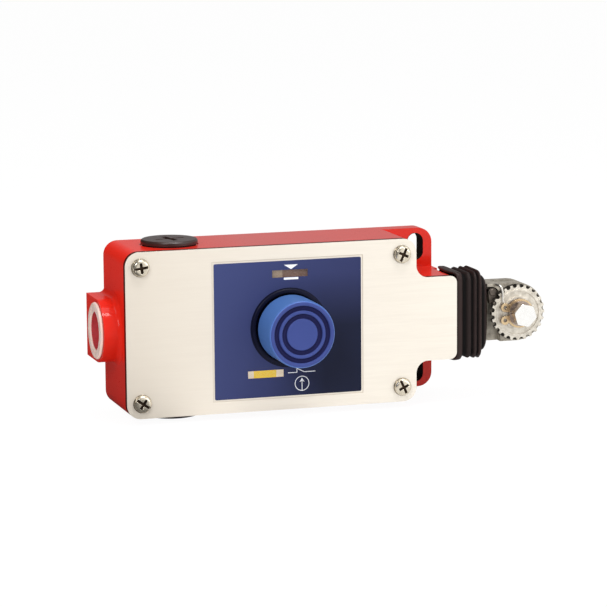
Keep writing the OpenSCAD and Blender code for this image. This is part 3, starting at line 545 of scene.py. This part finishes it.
def shaft_steel(front_y):
    """Turned steel: a bright faced end, and sides painted darker and browner as shade."""
    f = Finish("turned_shaft", Metallic=0.9)
    cloud = f.noise(0.8, 3)
    behind = (f.axes(f.place)[1] - front_y).more(FACED_DEPTH)
    face = f.mix(cloud, (0.86, 0.85, 0.82), (0.97, 0.96, 0.94))
    # painted shade: the sides are darker and browner than the faced end
    side = f.mix(cloud, (0.30, 0.235, 0.195), (0.52, 0.44, 0.385))
    f.set(Base_Color=f.mix(behind, face, side), Roughness=f.range(cloud, 0.14, 0.30))
    f.bump(cloud, 0.2, 0.01)
    return f.done()


nickel = screw_nickel(Span("cover_screws"), SCREW_HEAD_R)
polished = shaft_steel(Span("drum_shaft").low.y)


# %% [markdown]
# ## Moulded plastic
# Most of the small pieces are moulded: the plugs, the collar, the guides and the
# contact blocks. The mould leaves a fine texture, and the shade drifts slowly over
# a large face. A single colour would look like a drawing. So a fine noise feeds
# gloss and bump, a slow one feeds the shade, and one function serves every colour.

# %% Moulded plastics
def moulded(name, dark, light, low=0.35, high=0.5, specular=0.15):
    """Moulded plastic: a fine texture and a slow change of shade."""
    f = Finish(name, Specular_IOR_Level=specular)
    cloud = f.noise(0.08, 2)
    skin = f.noise(1.5, 2)
    f.set(Base_Color=f.mix(cloud, dark, light), Roughness=f.range(skin, low, high))
    f.bump(skin, 0.25, 0.02)
    return f.done()


black = moulded("black_plastic", (0.016, 0.014, 0.013), (0.028, 0.025, 0.023))
grey = moulded("grey_plastic", (0.10, 0.105, 0.115), (0.15, 0.155, 0.165))
# partly painted shade: this navy is made near black for the shadow round the button
navy = moulded("navy_plastic", (0.0015, 0.002, 0.013), (0.003, 0.004, 0.019), 0.34, 0.46)
yellow = moulded("signal_yellow", (0.85, 0.50, 0.03), (0.93, 0.60, 0.06))
plug_brown = moulded(
    "plug_plastic", (0.028, 0.013, 0.011), (0.042, 0.021, 0.018), 0.24, 0.38, specular=0.5)
rubber_seal = moulded("black_seal", (0.012, 0.012, 0.012), (0.02, 0.02, 0.02), 0.5, 0.7)
white_ink = moulded("white_ink", (0.84, 0.85, 0.88), (0.92, 0.93, 0.95), 0.4, 0.5)


# %% [markdown]
# ## Strips behind the windows
# Two strips slide behind the windows and show either their ends or the band in their middle. The
# band could be a piece of its own, but it is printed, so it is a mask along X. Behind a pane the
# strips would be dim, so they glow a little, as painted light.

# %% Strips behind the windows
TENSION_BAND = (68.4 * MM, 120 * MM)    # from the plate's left end to both ends of the band
STATE_BAND = (56.1 * MM, 66.0 * MM)


def marked_strip(name, ends, middle, band, glow):
    """A strip with one colour in a band and another beyond it."""
    # painted light: the strip glows a little, though it is no lamp
    f = Finish(name, Specular_IOR_Level=0.2, Emission_Strength=glow)
    skin = f.noise(1.2, 2)
    x = f.axes(f.place)[0]
    inside = x.more(plate.low.x + band[0]) * x.less(plate.low.x + band[1])
    shade = f.mix(inside, ends, middle)
    f.set(Base_Color=f.mix(skin * 0.25, shade, (0.05, 0.04, 0.035)), Emission_Color=shade)
    f.set(Roughness=f.range(skin, 0.35, 0.5))
    f.bump(skin, 0.2, 0.02)
    return f.done()


tension_marks = marked_strip(
    "tension_marks", (0.40, 0.29, 0.20), (0.19, 0.088, 0.052), TENSION_BAND, 0.15)
state_marks = marked_strip(
    "state_marks", (0.90, 0.78, 0.62), (0.97, 0.66, 0.05), STATE_BAND, 0.5)


# %% [markdown]
# ## Boot rubber
# The boot is moulded rubber whose folds are painted near black as shade. How deep a fold lies can't
# be read from the place alone, because the folds grow toward the case. So the mesh carries it as an
# attribute, which is written where the boot is made, and the finish only reads it.

# %% Boot rubber
def boot_rubber():
    """Rubber whose attribute fold is 0 on a crest and 1 in a valley."""
    f = Finish("boot_rubber", Specular_IOR_Level=0.22)
    fold = f.add("Attribute", {"attribute_name": "fold"}, out="Fac").clamp()
    skin = f.noise(1.2, 4, roughness=0.65)
    crest = f.mix(f.noise(0.12, 3), (0.018, 0.009, 0.008), (0.032, 0.017, 0.015))
    # painted shade: the folds go near black
    f.set(Base_Color=f.mix(fold, crest, (0.0012, 0.0008, 0.0008)))
    f.set(Roughness=f.range(skin, 0.36, 0.52) + fold * 0.4)
    f.bump(skin, 0.25, 0.04)
    return f.done()


rubber = boot_rubber()


# %% [markdown]
# ## Panes and cap
# The panes are clear plastic. Transmission would bend light through them and make
# the strips behind them noisy, so a pane is nearly all hole with some gloss left.
# The push-in cap of the end entry is a milky ring with a thin membrane through which the red bore
# shines. A little light scatters under its skin, and the membrane is painted with the red of the
# bore behind it, darkened as that bore's shade.

# %% Pane and cap
MEMBRANE_R = 8.0 * MM


def window_pane():
    f = Finish("clear_pane")
    skin = f.noise(0.6, 2)
    f.set(Base_Color=f.mix(skin, (0.80, 0.80, 0.78), (0.88, 0.88, 0.86)))
    f.set(Roughness=f.range(skin, 0.03, 0.08), Alpha=f.range(skin, 0.02, 0.05))
    return f.done()


def milky_cap():
    f = Finish("milky_cap", Subsurface_Weight=0.15, Subsurface_Scale=1.5 * MM,
               Specular_IOR_Level=0.2)
    _, y, z = f.axes(f.place)
    membrane = from_axis(y - entry.centre.y, z).less(MEMBRANE_R)
    cloud = f.noise(0.2, 2)
    ring = f.mix(cloud, (0.68, 0.50, 0.43), (0.78, 0.61, 0.54))
    # partly painted shade: the red of the bore behind the membrane, darkened as its shade
    film = f.mix(cloud, (0.40, 0.035, 0.040), (0.52, 0.070, 0.080))
    f.set(Base_Color=f.mix(membrane, ring, film), Roughness=f.range(cloud, 0.2, 0.35))
    return f.done()


pane = window_pane()
milky = milky_cap()


# %% [markdown]
# ## Label film
# The label is a navy film with a satin skin. Its light and shade are painted in: it is lighter
# toward the upper left and darkens toward the lower right corner. The lamps could be turned to do
# that, but they would darken the plate too. So two gradients along the label paint it, and a fine
# grain in gloss and bump keeps the film from looking like paint.

# %% Label film
def label_film():
    f = Finish("navy_film", Specular_IOR_Level=0.12)
    grain = f.noise(5, 2)
    cloud = f.noise(0.04, 2)
    x, _, z = f.axes(f.place)
    across = (x - label.low.x) / label.size.x
    down = (label.high.z - z) / label.size.z
    # painted sheen and shade: lighter toward the upper left, near black in the lower right corner
    sheen_slant = (across * 0.7 + down * 0.3).clamp()
    corner_shade = ((across - 0.35) / 0.4).clamp() * ((down - 0.1) / 0.4).clamp()
    shade = f.mix(sheen_slant, (0.045, 0.058, 0.165), (0.022, 0.026, 0.080))
    shade = f.mix(corner_shade * 0.9, shade, (0.005, 0.007, 0.018))
    f.set(Base_Color=f.mix(cloud * 0.12, shade, (0.022, 0.030, 0.090)))
    f.set(Roughness=f.range(grain, 0.34, 0.44))
    f.bump(grain, 0.15, 0.01)
    return f.done()


film = label_film()


# %% [markdown]
# ## Button rubber
# The button is blue rubber. Its skirt is painted lighter than its face as sheen, a painted
# highlight runs round the edge of the face, and the two grooves of the face are painted in deep
# shade. The grooves are cut in the part, but they are too narrow for soft lamps to show. So a place
# is painted by how far it is from the button's axis and how deep it lies.

# %% Button rubber
FACE_DEPTH = 0.6 * MM     # the face and its rim end here, the grooves lie deeper
SKIRT_DEPTH = 0.7 * MM
GROOVES_R = 12.2 * MM
SKIRT_R = 12.6 * MM
RIM = 0.6 * MM


def button_blue():
    f = Finish("button_blue", Specular_IOR_Level=0.25)
    skin = f.noise(2.2, 3)
    cloud = f.noise(0.06, 2)
    x, y, z = f.axes(f.place)
    away = from_axis(x - cap.centre.x, z - cap.centre.z)
    depth = y - cap.low.y
    # painted shade in the grooves, a painted sheen on the skirt and a painted highlight round the
    # edge of the face
    groove = depth.more(FACE_DEPTH) * away.less(GROOVES_R)
    skirt_sheen = depth.more(SKIRT_DEPTH) * away.more(SKIRT_R)
    painted_rim = away.more(cap.size.x / 2 - RIM) * depth.less(FACE_DEPTH)
    shade = f.mix(cloud, (0.031, 0.050, 0.200), (0.040, 0.064, 0.245))
    shade = f.mix(skirt_sheen, shade, (0.062, 0.150, 0.400))
    shade = f.mix(painted_rim, shade, (0.062, 0.140, 0.420))
    f.set(Base_Color=f.mix(groove, shade, (0.008, 0.009, 0.066)))
    f.set(Roughness=f.range(skin, 0.36, 0.48) + groove * 0.35)
    f.bump(skin, 0.2, 0.02)
    return f.done()


blue = button_blue()


# %% [markdown]
# ## Painting the packed pieces
# Every packed piece needs its finish, also deep inside, because the model may be
# opened. Materials could be assigned piece by piece, but a table from finish to
# pieces shows at a glance which pieces are made of the same stuff, and a set
# difference then finds a piece that was forgotten. Only the material slots of
# the packed pieces change, never their meshes.

# %% Paint the packed pieces
painted = {
    red: ["housing"],
    cream: ["cover_plate"],
    nickel: ["cover_screws"],
    washer_nickel: ["screw_washers"],
    ring_zinc: ["circlip"],
    gold_zinc: ["earth_screw"],
    clear_zinc: ["rod_nut", "latch_lever", "mechanism_frame", "frame_screws", "terminal_screws"],
    drawn: ["pull_rod", "rod_pin", "spring_seat", "latch_pin"],
    pawl_steel: ["pawl", "pawl_pin"],
    spring_wire: ["main_spring", "return_spring", "pawl_spring"],
    bronze: ["guide_bush"],
    zamak: ["pull_head"],
    polished: ["drum_shaft"],
    wheel_steel: ["ratchet_wheel"],
    film: ["front_label"],
    pane: ["tension_window", "state_window"],
    plug_brown: ["top_plug", "bottom_plug"],
    black: ["indicator_guides", "reset_plunger", "collar_nut",
            "contact_block_top", "contact_block_bottom"],
    rubber_seal: ["cover_gasket", "plug_seals"],
    milky: ["dust_cap"],
    rubber: ["boot"],
    grey: ["cam_slide"],
    yellow: ["contact_plunger_top", "contact_plunger_bottom"],
    tension_marks: ["tension_indicator"],
    state_marks: ["state_flag"],
    blue: ["reset_cap"],
    navy: ["reset_collar"],
}
finish_of = {node: material for material, nodes in painted.items() for node in nodes}
for node, material in finish_of.items():
    for slot in frame["nodes"][node].material_slots:
        slot.material = material
print("painted", len(finish_of), "pieces, left bare:", sorted(set(frame["nodes"]) - set(finish_of)))


# %% [markdown]
# ## Hard pieces with soft edges
# The case and the rope head are cast, so their edges are wide and round. The
# plate, washers and pawl are stamped, with edges that are hardly broken. One
# bevel width for all would make the castings look sawn or the stampings look
# melted. So each piece has its own, and the large case and the button get an
# extra step across it. The copies stand for the packed pieces, which stay in the
# motion model.

# %% Dress the hard pieces
edges = (    # piece, width of its edges in millimetres, steps across an edge
    ("housing", 0.7, 3),
    ("cover_plate", 0.25, 2),
    ("cover_screws", 0.12, 2),
    ("screw_washers", 0.1, 2),
    ("top_plug", 0.2, 2),
    ("bottom_plug", 0.2, 2),
    ("dust_cap", 0.25, 2),
    ("pull_head", 0.35, 2),
    ("drum_shaft", 0.15, 2),
    ("ratchet_wheel", 0.14, 2),
    ("circlip", 0.08, 2),
    ("pawl", 0.12, 2),
    ("pawl_pin", 0.08, 2),
    ("reset_collar", 0.2, 2),
    ("reset_cap", 0.3, 3),
)
for node, width, segments in edges:
    bm = flat_copy(node)
    soften(bm, width * MM, segments)
    piece = make_piece(
        node + "_dressed", bm, finish_of[node], body_of[node], (node,))
    print(piece.name, "has", len(piece.data.polygons), "faces")


# %% [markdown]
# ## Folds of the boot
# The boot is a rubber bellows between the neck of the case and the rope head. Its folds are painted
# dark as shade. An Ambient Occlusion node could find them, but it costs time at every ray and also
# darkens what only lies beside another piece. So the mesh says itself how deep a ring lies: a line
# is stretched over the crests like a string, and the attribute `fold` grows with the drop from that
# line down to the ring.

# %% Mark the folds
FOLD_DEPTH = 1.2    # a ring this many millimetres below the crests is in full shade
SLACK = 0.01        # places along X are matched to this many millimetres


def ring_heights(bm):
    """How far out each ring of the boot reaches, by its place along X, in millimetres."""
    heights = {}
    for v in bm.verts:
        place = round(v.co.x / MM, 2)
        heights[place] = max(heights.get(place, 0), abs(v.co.z) / MM)
    return heights


def crest_line(points):
    """The points that a string pulled tight over the crests would touch."""
    line = []
    for point in points:
        while len(line) > 1:
            (ax, az), (bx, bz) = line[-2:]
            if (bx - ax) * (point[1] - az) - (bz - az) * (point[0] - ax) < 0:
                break
            line.pop()
        line.append(point)
    return line


def mark_folds(bm):
    """Writes how deep each ring lies into the attribute fold: 0 on a crest, 1 in a valley."""
    heights = ring_heights(bm)
    crests = crest_line(sorted(heights.items()))
    layer = bm.verts.layers.float.new("fold")
    for v in bm.verts:
        x = v.co.x / MM
        for (ax, az), (bx, bz) in zip(crests, crests[1:]):
            if ax <= x <= bx + SLACK:
                line = az + (bz - az) * (x - ax) / (bx - ax)
                v[layer] = min(max((line - heights[round(x, 2)]) / FOLD_DEPTH, 0), 1)
    print("boot:", len(heights), "rings,", len(crests), "of them on the line over the crests")


# %% [markdown]
# ## Bellows boot
# The packed boot has the right folds but flat facets. It could be spun again from
# a section, but then its outline would stand in two places. So its triangles are
# joined into quads, and one level of subdivision turns the folds into soft waves.
# It stays in its packed place and does not move with the head.

# %% Boot
FIXED_AT_CASE = 3 * MM
FIXED_AT_HEAD = 2 * MM


def stretch(obj, node, body, start, end):
    """Bakes a piece's place into its mesh and hides the packed piece that it stands for."""
    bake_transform(obj)
    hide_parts(node)
    print(obj.name, "stretches from the case to", body)


def boot_piece():
    bm = welded("boot")
    bmesh.ops.join_triangles(
        bm, faces=bm.faces, angle_face_threshold=radians(60), angle_shape_threshold=pi)
    mark_folds(bm)
    obj = make_piece("boot_dressed", bm, rubber, flat=False, sharp=180)
    folds = obj.modifiers.new("soft folds", "SUBSURF")
    folds.levels = folds.render_levels = 1
    box = Span("boot")
    start = (box.low.x + FIXED_AT_CASE, 0, 0)
    end = (box.high.x - FIXED_AT_HEAD, 0, 0)
    stretch(obj, "boot", "pull_line", start, end)


boot_piece()


# %% [markdown]
# ## Seal of the button
# A thin rubber lip lies on the label round the collar of the button, and keeps water out. Its
# near-black navy also stands for the shadow round the collar, as painted shade. A torus would be
# too round for it. Its section is flat with one broken corner, so that section is drawn once and
# spun about the collar's axis.

# %% Seal
LIP_INSIDE = 0.3 * MM     # how far the lip reaches under the collar
LIP_OUTSIDE = 0.4 * MM    # and how far it shows round it
LIP_LIFT = 0.02 * MM      # keeps it just clear of the film
LIP_TOP = 0.2 * MM
LIP_CORNER = (0.15 * MM, 0.06 * MM)
LIP_STEPS = 96


def button_seal():
    inner, outer = collar.size.x / 2 - LIP_INSIDE, collar.size.x / 2 + LIP_OUTSIDE
    section = (
        (inner, LIP_LIFT), (outer, LIP_LIFT), (outer, LIP_TOP - LIP_CORNER[1]),
        (outer - LIP_CORNER[0], LIP_TOP), (inner, LIP_TOP))
    centre = Vector((collar.centre.x, label.low.y, collar.centre.z))
    bm = bmesh.new()
    corners = [bm.verts.new(centre + Vector((0, -depth, away))) for away, depth in section]
    sides = [bm.edges.new(pair) for pair in zip(corners, corners[1:] + corners[:1])]
    bmesh.ops.spin(
        bm, geom=corners + sides, cent=centre, axis=(0, 1, 0), angle=2 * pi,
        steps=LIP_STEPS, use_merge=True)
    bmesh.ops.recalc_face_normals(bm, faces=bm.faces)
    piece = make_piece("button_seal", bm, navy, "case", sharp=35)
    print("button seal:", len(piece.data.polygons), "faces")


button_seal()


# %% [markdown]
# ## Coil springs
# Two coil springs work inside: the main spring pulls the line back, and the return spring lifts the
# button. A curve with a round bevel would make a coil, but the packed coil already has the right
# turns. So it is only smoothed, and it stays in its packed place.

# %% Springs
def spring_piece(node, body, start, end):
    obj = make_piece(node + "_dressed", flat_copy(node), spring_wire, flat=False, sharp=60)
    stretch(obj, node, body, start, end)


coil = Span("main_spring")
spring_piece("main_spring", "pull_line", (coil.high.x, 0, 0), (coil.low.x, 0, 0))
coil = Span("return_spring")
spring_piece("return_spring", "reset_button", (0, coil.high.y, 0), (0, coil.low.y, 0))


# %% [markdown]
# ## Wire along a path
# A bent wire is round all along, so all of its form lies in its path. A curve object
# with a round bevel would do, but its rings twist at a tight bend. So a ring of
# edges is extruded along the path and turned at each step to stay square to it,
# and its two ends are filled. The path is a curve laid through a few knots.

# %% Sweep a wire
WIRE_R = 0.5 * MM
WIRE_SIDES = 10
LEAN = Vector((0.3, 0.1, 1))    # never along the wire, so it can square up every ring


def smooth_path(knots, steps=5):
    """A Catmull-Rom curve through all the knots."""
    last = len(knots) - 1
    places = []
    for i in range(last):
        a, b, c, d = (knots[min(max(i + k, 0), last)] for k in (-1, 0, 1, 2))
        for t in (step / steps for step in range(steps)):
            places.append(0.5 * (
                2 * b + (c - a) * t + (2 * a - 5 * b + 4 * c - d) * t ** 2
                + (3 * b - a - 3 * c + d) * t ** 3))
    return places + [knots[-1]]


def square_to(places, i):
    """The place and turn of a ring that lies square to the wire."""
    along = (places[min(i + 1, len(places) - 1)] - places[max(i - 1, 0)]).normalized()
    out = along.cross(LEAN).normalized()
    turned = Matrix((out.cross(along), out, along)).transposed().to_4x4()
    turned.translation = places[i]
    return turned


def wire_along(places):
    """A round wire through the places, with closed ends."""
    bm = bmesh.new()
    here = square_to(places, 0)
    bmesh.ops.create_circle(bm, segments=WIRE_SIDES, radius=WIRE_R, matrix=here)
    ring = bm.edges[:]
    for i in range(1, len(places)):
        step = square_to(places, i) @ here.inverted()
        made = bmesh.ops.extrude_edge_only(bm, edges=ring)["geom"]
        ring = [g for g in made if isinstance(g, bmesh.types.BMEdge)]
        moved = [g for g in made if isinstance(g, bmesh.types.BMVert)]
        bmesh.ops.transform(bm, matrix=step, verts=moved)
        here = step @ here
    bmesh.ops.holes_fill(bm, edges=bm.edges, sides=WIRE_SIDES)
    bmesh.ops.recalc_face_normals(bm, faces=bm.faces)
    return bm


print("a wire of", WIRE_R / MM, "mm radius has", WIRE_SIDES, "sides")


# %% [markdown]
# ## Leg of the pawl spring
# A wire leg keeps the pawl in the teeth of the wheel. It comes out of the head, crosses the wheel's
# edge and runs down beside the pawl's nose. Its bright wire also stands for the highlight on the
# edge of the head there, as a painted highlight. A coil could be worked out by a formula, but such
# a leg is bent to fit what is round it. So its knots are chosen one by one, from the axis and the
# front of the wheel.

# %% Spring leg
WHEEL_THICK = 2.6 * MM
wheel_front = wheel.high.y - WHEEL_THICK
bends = (    # right of the wheel's axis, behind its front, above the axis, in millimetres
    (-9.8, 4.0, 12.1), (-9.5, 2.0, 12.3), (-8.9, 0.0, 12.3), (-8.2, -0.95, 11.6),
    (-7.7, -0.95, 10.2), (-7.5, -0.95, 8.7), (-7.55, -0.95, 7.2), (-7.4, -0.95, 5.8),
    (-6.9, -0.95, 4.5))
knots = [Vector((wheel.centre.x + x * MM, wheel_front + y * MM, z * MM)) for x, y, z in bends]
leg = make_piece(
    "pawl_spring_leg", wire_along(smooth_path(knots)), leg_wire, "pull_line",
    flat=False, sharp=60)
print("spring leg:", len(leg.data.polygons), "faces")


# %% [markdown]
# ## Ink
# The marks on the film are printed. A mask in the film's finish could draw them,
# but ink has an edge that catches light, and a mesh stays sharp at any distance.
# So a mark is a flat outline, raised by the thickness of the ink, and a line is a
# row of such outlines that are mitred at its bends.

# %% Ink
INK = 0.04 * MM
INK_BODY = 0.9     # the share of the ink that is solid, so that it ends just short of the film
STROKE = 0.28 * MM
BLUNTEST = 0.4     # keeps the mitre of a tight bend from running away


def on_label(x, z):
    """A point of the film's front: millimetres from the plate's left end and mid height."""
    return Vector((plate.low.x + x * MM, label.low.y, z * MM))


def ink_patch(bm, *places):
    """Raises one flat outline from the film by the thickness of the ink."""
    face = bm.faces.new([bm.verts.new(p - Vector((0, INK, 0))) for p in places])
    made = bmesh.ops.extrude_face_region(bm, geom=[face])["geom"]
    back = [g for g in made if isinstance(g, bmesh.types.BMVert)]
    bmesh.ops.translate(bm, verts=back, vec=(0, INK * INK_BODY, 0))


def ink_line(bm, *places):
    """A stroke of even width through the places, mitred at its bends."""
    path = [on_label(*place) for place in places]
    left, right = [], []
    for i, point in enumerate(path):
        before = (point - path[i - 1]).normalized() if i else (path[1] - point).normalized()
        after = (path[i + 1] - point).normalized() if i + 1 < len(path) else before
        side = Vector((-(before + after).z, 0, (before + after).x)).normalized()
        reach = STROKE / 2 / max(side.dot(Vector((-before.z, 0, before.x))), BLUNTEST)
        left.append(point + side * reach)
        right.append(point - side * reach)
    for corners in zip(left, left[1:], right[1:], right):
        ink_patch(bm, *corners)


print("ink is", INK / MM, "mm thick, a stroke", STROKE / MM, "mm wide")


# %% [markdown]
# ## Print on the label
# The film carries four white marks: a pointer above the upper window and a bar
# below it, the sign of a break contact beside the lower window, and an arrow in
# a ring that stands for the pull. They could be text in a font of symbols, but each
# needs only a few points. So every mark has its own short function, and all of
# them become one piece.

# %% Label print
RING_X, RING_Z, RING_R = 75.8, -24.2, 3.05
RING_STEPS = 48


def window_marks(bm):
    """The pointer above the upper window and the bar below it."""
    ink_patch(bm, on_label(68.3, 26.6), on_label(74.3, 26.6), on_label(71.35, 24.7))
    ink_patch(bm, *(on_label(x, z) for x, z in (
        (68.2, 21.2), (74.5, 21.2), (74.5, 20.3), (68.2, 20.3))))


def contact_sign(bm):
    """A break contact: a lead with its stop, and the bar that opens."""
    ink_line(bm, (69.7, -19.35), (73.6, -19.35), (73.6, -17.3))
    ink_line(bm, (72.8, -17.2), (76.8, -19.3), (81.7, -19.3))


def pull_sign(bm):
    """An arrow in a ring."""
    turns = [2 * pi * i / RING_STEPS for i in range(RING_STEPS + 1)]
    ink_line(bm, *((RING_X + RING_R * sin(a), RING_Z + RING_R * cos(a)) for a in turns))
    ink_line(bm, (RING_X, -27.1), (RING_X, -22.5))
    ink_patch(bm, *(on_label(RING_X + x, z) for x, z in (
        (0, -21.8), (1.1, -23.6), (0, -23.1), (-1.1, -23.6))))


def label_print():
    bm = bmesh.new()
    window_marks(bm)
    contact_sign(bm)
    pull_sign(bm)
    bmesh.ops.recalc_face_normals(bm, faces=bm.faces)
    piece = make_piece("label_print", bm, white_ink, "case", flat=False)
    print("label print:", len(piece.data.polygons), "faces")


label_print()


# %% [markdown]
# ## Room
# The switch stands on a white floor in a white room. A sky that is bright enough
# to look white would wash out every colour. So rays are told apart by Light Path:
# camera and transmission rays see pure white, diffuse rays only a mild sky, and
# four large lamps do the rest. Bright metal shows what it mirrors, and in an
# all-white room it has no form. So for glossy rays the room fades to the left
# and to the back, like a dark flag at the side of a table in a studio.

# %% Language of the room
class Room(Tree):
    """The same small language for the world and the floor, with questions about rays."""

    def ray(self, kind):
        return self.add("LightPath", out="Is " + kind + " Ray")

    def plain(self):
        """1 for camera and transmission rays."""
        return self.ray("Camera").larger(self.ray("Transmission"))

    def any_seen(self):
        """1 for every ray that shows the room."""
        return self.plain().larger(self.ray("Glossy"))

    def seen(self, away):
        """Like any_seen, but in reflections the room fades to the left and to the back.

        `away` is the direction of the room's point as the switch sees it."""
        right, back, _ = self.axes(away)
        side = self.ease(right, -0.25, 0.25, 0.03, 1.0)
        depth = self.ease(back, -0.4, 0.6, 1.0, 0.36)
        return self.plain().larger(self.ray("Glossy") * side * depth)


print("the room asks about camera, transmission, glossy and diffuse rays")


# %% [markdown]
# ## World
# The world stands for the walls and the ceiling. It could have one even strength,
# but then it would either look grey or wash out the colours. So its strength is 1
# for the rays that see it and low for the diffuse light that it sheds.

# %% World
SKY_LIGHT = 0.42


def make_world():
    world = bpy.data.worlds.new("studio_sky")
    world.use_nodes = True
    bpy.context.scene.world = world
    room = Room(world.node_tree)
    sky = world.node_tree.nodes["Background"]
    room.feed(sky.inputs["Color"], (1, 1, 1))
    seen = room.seen(room.add("TexCoord", out="Generated"))
    room.feed(sky.inputs["Strength"], room.ray("Diffuse") * SKY_LIGHT + seen)
    print("world", world.name, "has", len(world.node_tree.nodes), "nodes")


make_world()


# %% [markdown]
# ## Floor
# The floor has to show the shadow of the switch and still end in the white of the
# room. A plain white material goes grey away from the lamps, and pure light shows
# no shadow. So a Mix Shader blends the two: nearly all light for the rays that
# show the room, and a plain pale surface for the rest.

# %% Floor
CENTRE = (cad_low + cad_high) / 2
FLOOR_HALF = 6             # metres
FLOOR_GAP = 0.5 * MM       # keeps the floor just clear of the switch
GLOW_SHARE = 0.93
GLOW = 1.03
EYE_LEFT = 62 * MM         # the room is judged from left of the middle, where the case is


def white_floor():
    """Pale paint that glows for the rays that show the room."""
    f = Finish("white_floor", Roughness=0.9, Specular_IOR_Level=0.1)
    f.set(Base_Color=f.mix(f.noise(0.002, 2), (0.90, 0.90, 0.90), (0.94, 0.94, 0.94)))
    room = Room(f.graph)
    eye = CENTRE - Vector((EYE_LEFT, 0, 0))
    reach = room.add("VectorMath", {"operation": "SUBTRACT"}, {0: f.place, 1: eye})
    away = room.add("VectorMath", {"operation": "NORMALIZE"}, {0: reach})
    shade = f.mix(room.seen(away), (0, 0, 0), (1, 1, 1))
    glow = f.add("Emission", inputs={"Color": shade, "Strength": GLOW})
    paint = Wire(f, f.shader.outputs[0])
    both = f.add("MixShader", inputs={0: room.any_seen() * GLOW_SHARE, 1: paint, 2: glow})
    f.feed(f.graph.nodes["Material Output"].inputs["Surface"], both)
    return f.done()


def make_floor():
    bm = bmesh.new()
    bmesh.ops.create_grid(bm, x_segments=1, y_segments=1, size=FLOOR_HALF)
    bmesh.ops.translate(bm, verts=bm.verts, vec=(CENTRE.x, CENTRE.y, cad_low.z - FLOOR_GAP))
    link_mesh("studio_floor", bm, white_floor())


make_floor()


# %% [markdown]
# ## Lamps
# Point lamps give hard shadows and tiny highlights. Product light is soft, so each
# lamp is a square area light, a quarter to over half a metre wide. The key lamp
# stands in front on the left, the fill lamp opens the shadows from the right, the
# gloss lamp draws the highlight on the upper edges, and the top lamp lights the
# top of the case.

# %% Lamps
lamps = (    # name, azimuth and elevation in degrees, distance and size in metres, watts
    ("key_lamp", -36, 30, 1.5, 0.45, 9.6),
    ("gloss_lamp", 20, 67, 1.2, 0.24, 3.4),
    ("fill_lamp", 45, 20, 1.0, 0.6, 1.8),
    ("top_lamp", 10, 80, 0.9, 0.6, 3.7),
)


def area_lamp(name, azimuth, elevation, distance, size, watts):
    """A square softbox that looks at the switch; azimuth 0 is in front."""
    a, e = radians(azimuth), radians(elevation)
    away = Vector((sin(a) * cos(e), -cos(a) * cos(e), sin(e)))
    data = bpy.data.lights.new(name, "AREA")
    data.size = size
    data.energy = watts
    lamp = bpy.data.objects.new(name, data)
    lamp.location = CENTRE + away * distance
    lamp.rotation_euler = (-away).to_track_quat("-Z", "Y").to_euler()
    bpy.context.scene.collection.objects.link(lamp)
    print(name, "stands at", [round(v, 2) for v in lamp.location])


for lamp in lamps:
    area_lamp(*lamp)


# %% [markdown]
# ## Camera
# A short lens close by would stretch the near end of the switch. A long lens a
# little over a metre away keeps its proportions. It looks from the left and
# slightly from above at the plate, and is rolled by less than half a degree. A
# camera could be aimed by a constraint, but its three directions written as the
# columns of a matrix show how a camera stands: right, up and backward.

# %% Camera
YAW, PITCH, ROLL = radians(17.186), radians(9.326), radians(0.415)
DISTANCE = 1.24872
LENS = 176.5
SENSOR = 36
AIM = Vector((plate.low.x + 76.768 * MM, plate.low.y, 9.755 * MM))


def make_camera():
    forward = Vector((sin(YAW) * cos(PITCH), cos(YAW) * cos(PITCH), -sin(PITCH)))
    level = Vector((cos(YAW), -sin(YAW), 0))
    down = forward.cross(level)
    right = level * cos(ROLL) + down * sin(ROLL)
    up = level * sin(ROLL) - down * cos(ROLL)
    data = bpy.data.cameras.new("studio_camera")
    data.lens = LENS
    data.sensor_width = SENSOR
    data.clip_start, data.clip_end = 0.05, 50
    camera = bpy.data.objects.new("studio_camera", data)
    stand = Matrix((right, up, -forward)).transposed().to_4x4()
    stand.translation = AIM - forward * DISTANCE
    camera.matrix_world = stand
    bpy.context.scene.collection.objects.link(camera)
    bpy.context.scene.camera = camera
    print("camera stands at", [round(v, 3) for v in stand.translation])


make_camera()
bpy.context.scene.view_settings.view_transform = "Standard"


# %% [markdown]
# The finished model must not be larger than the frame.
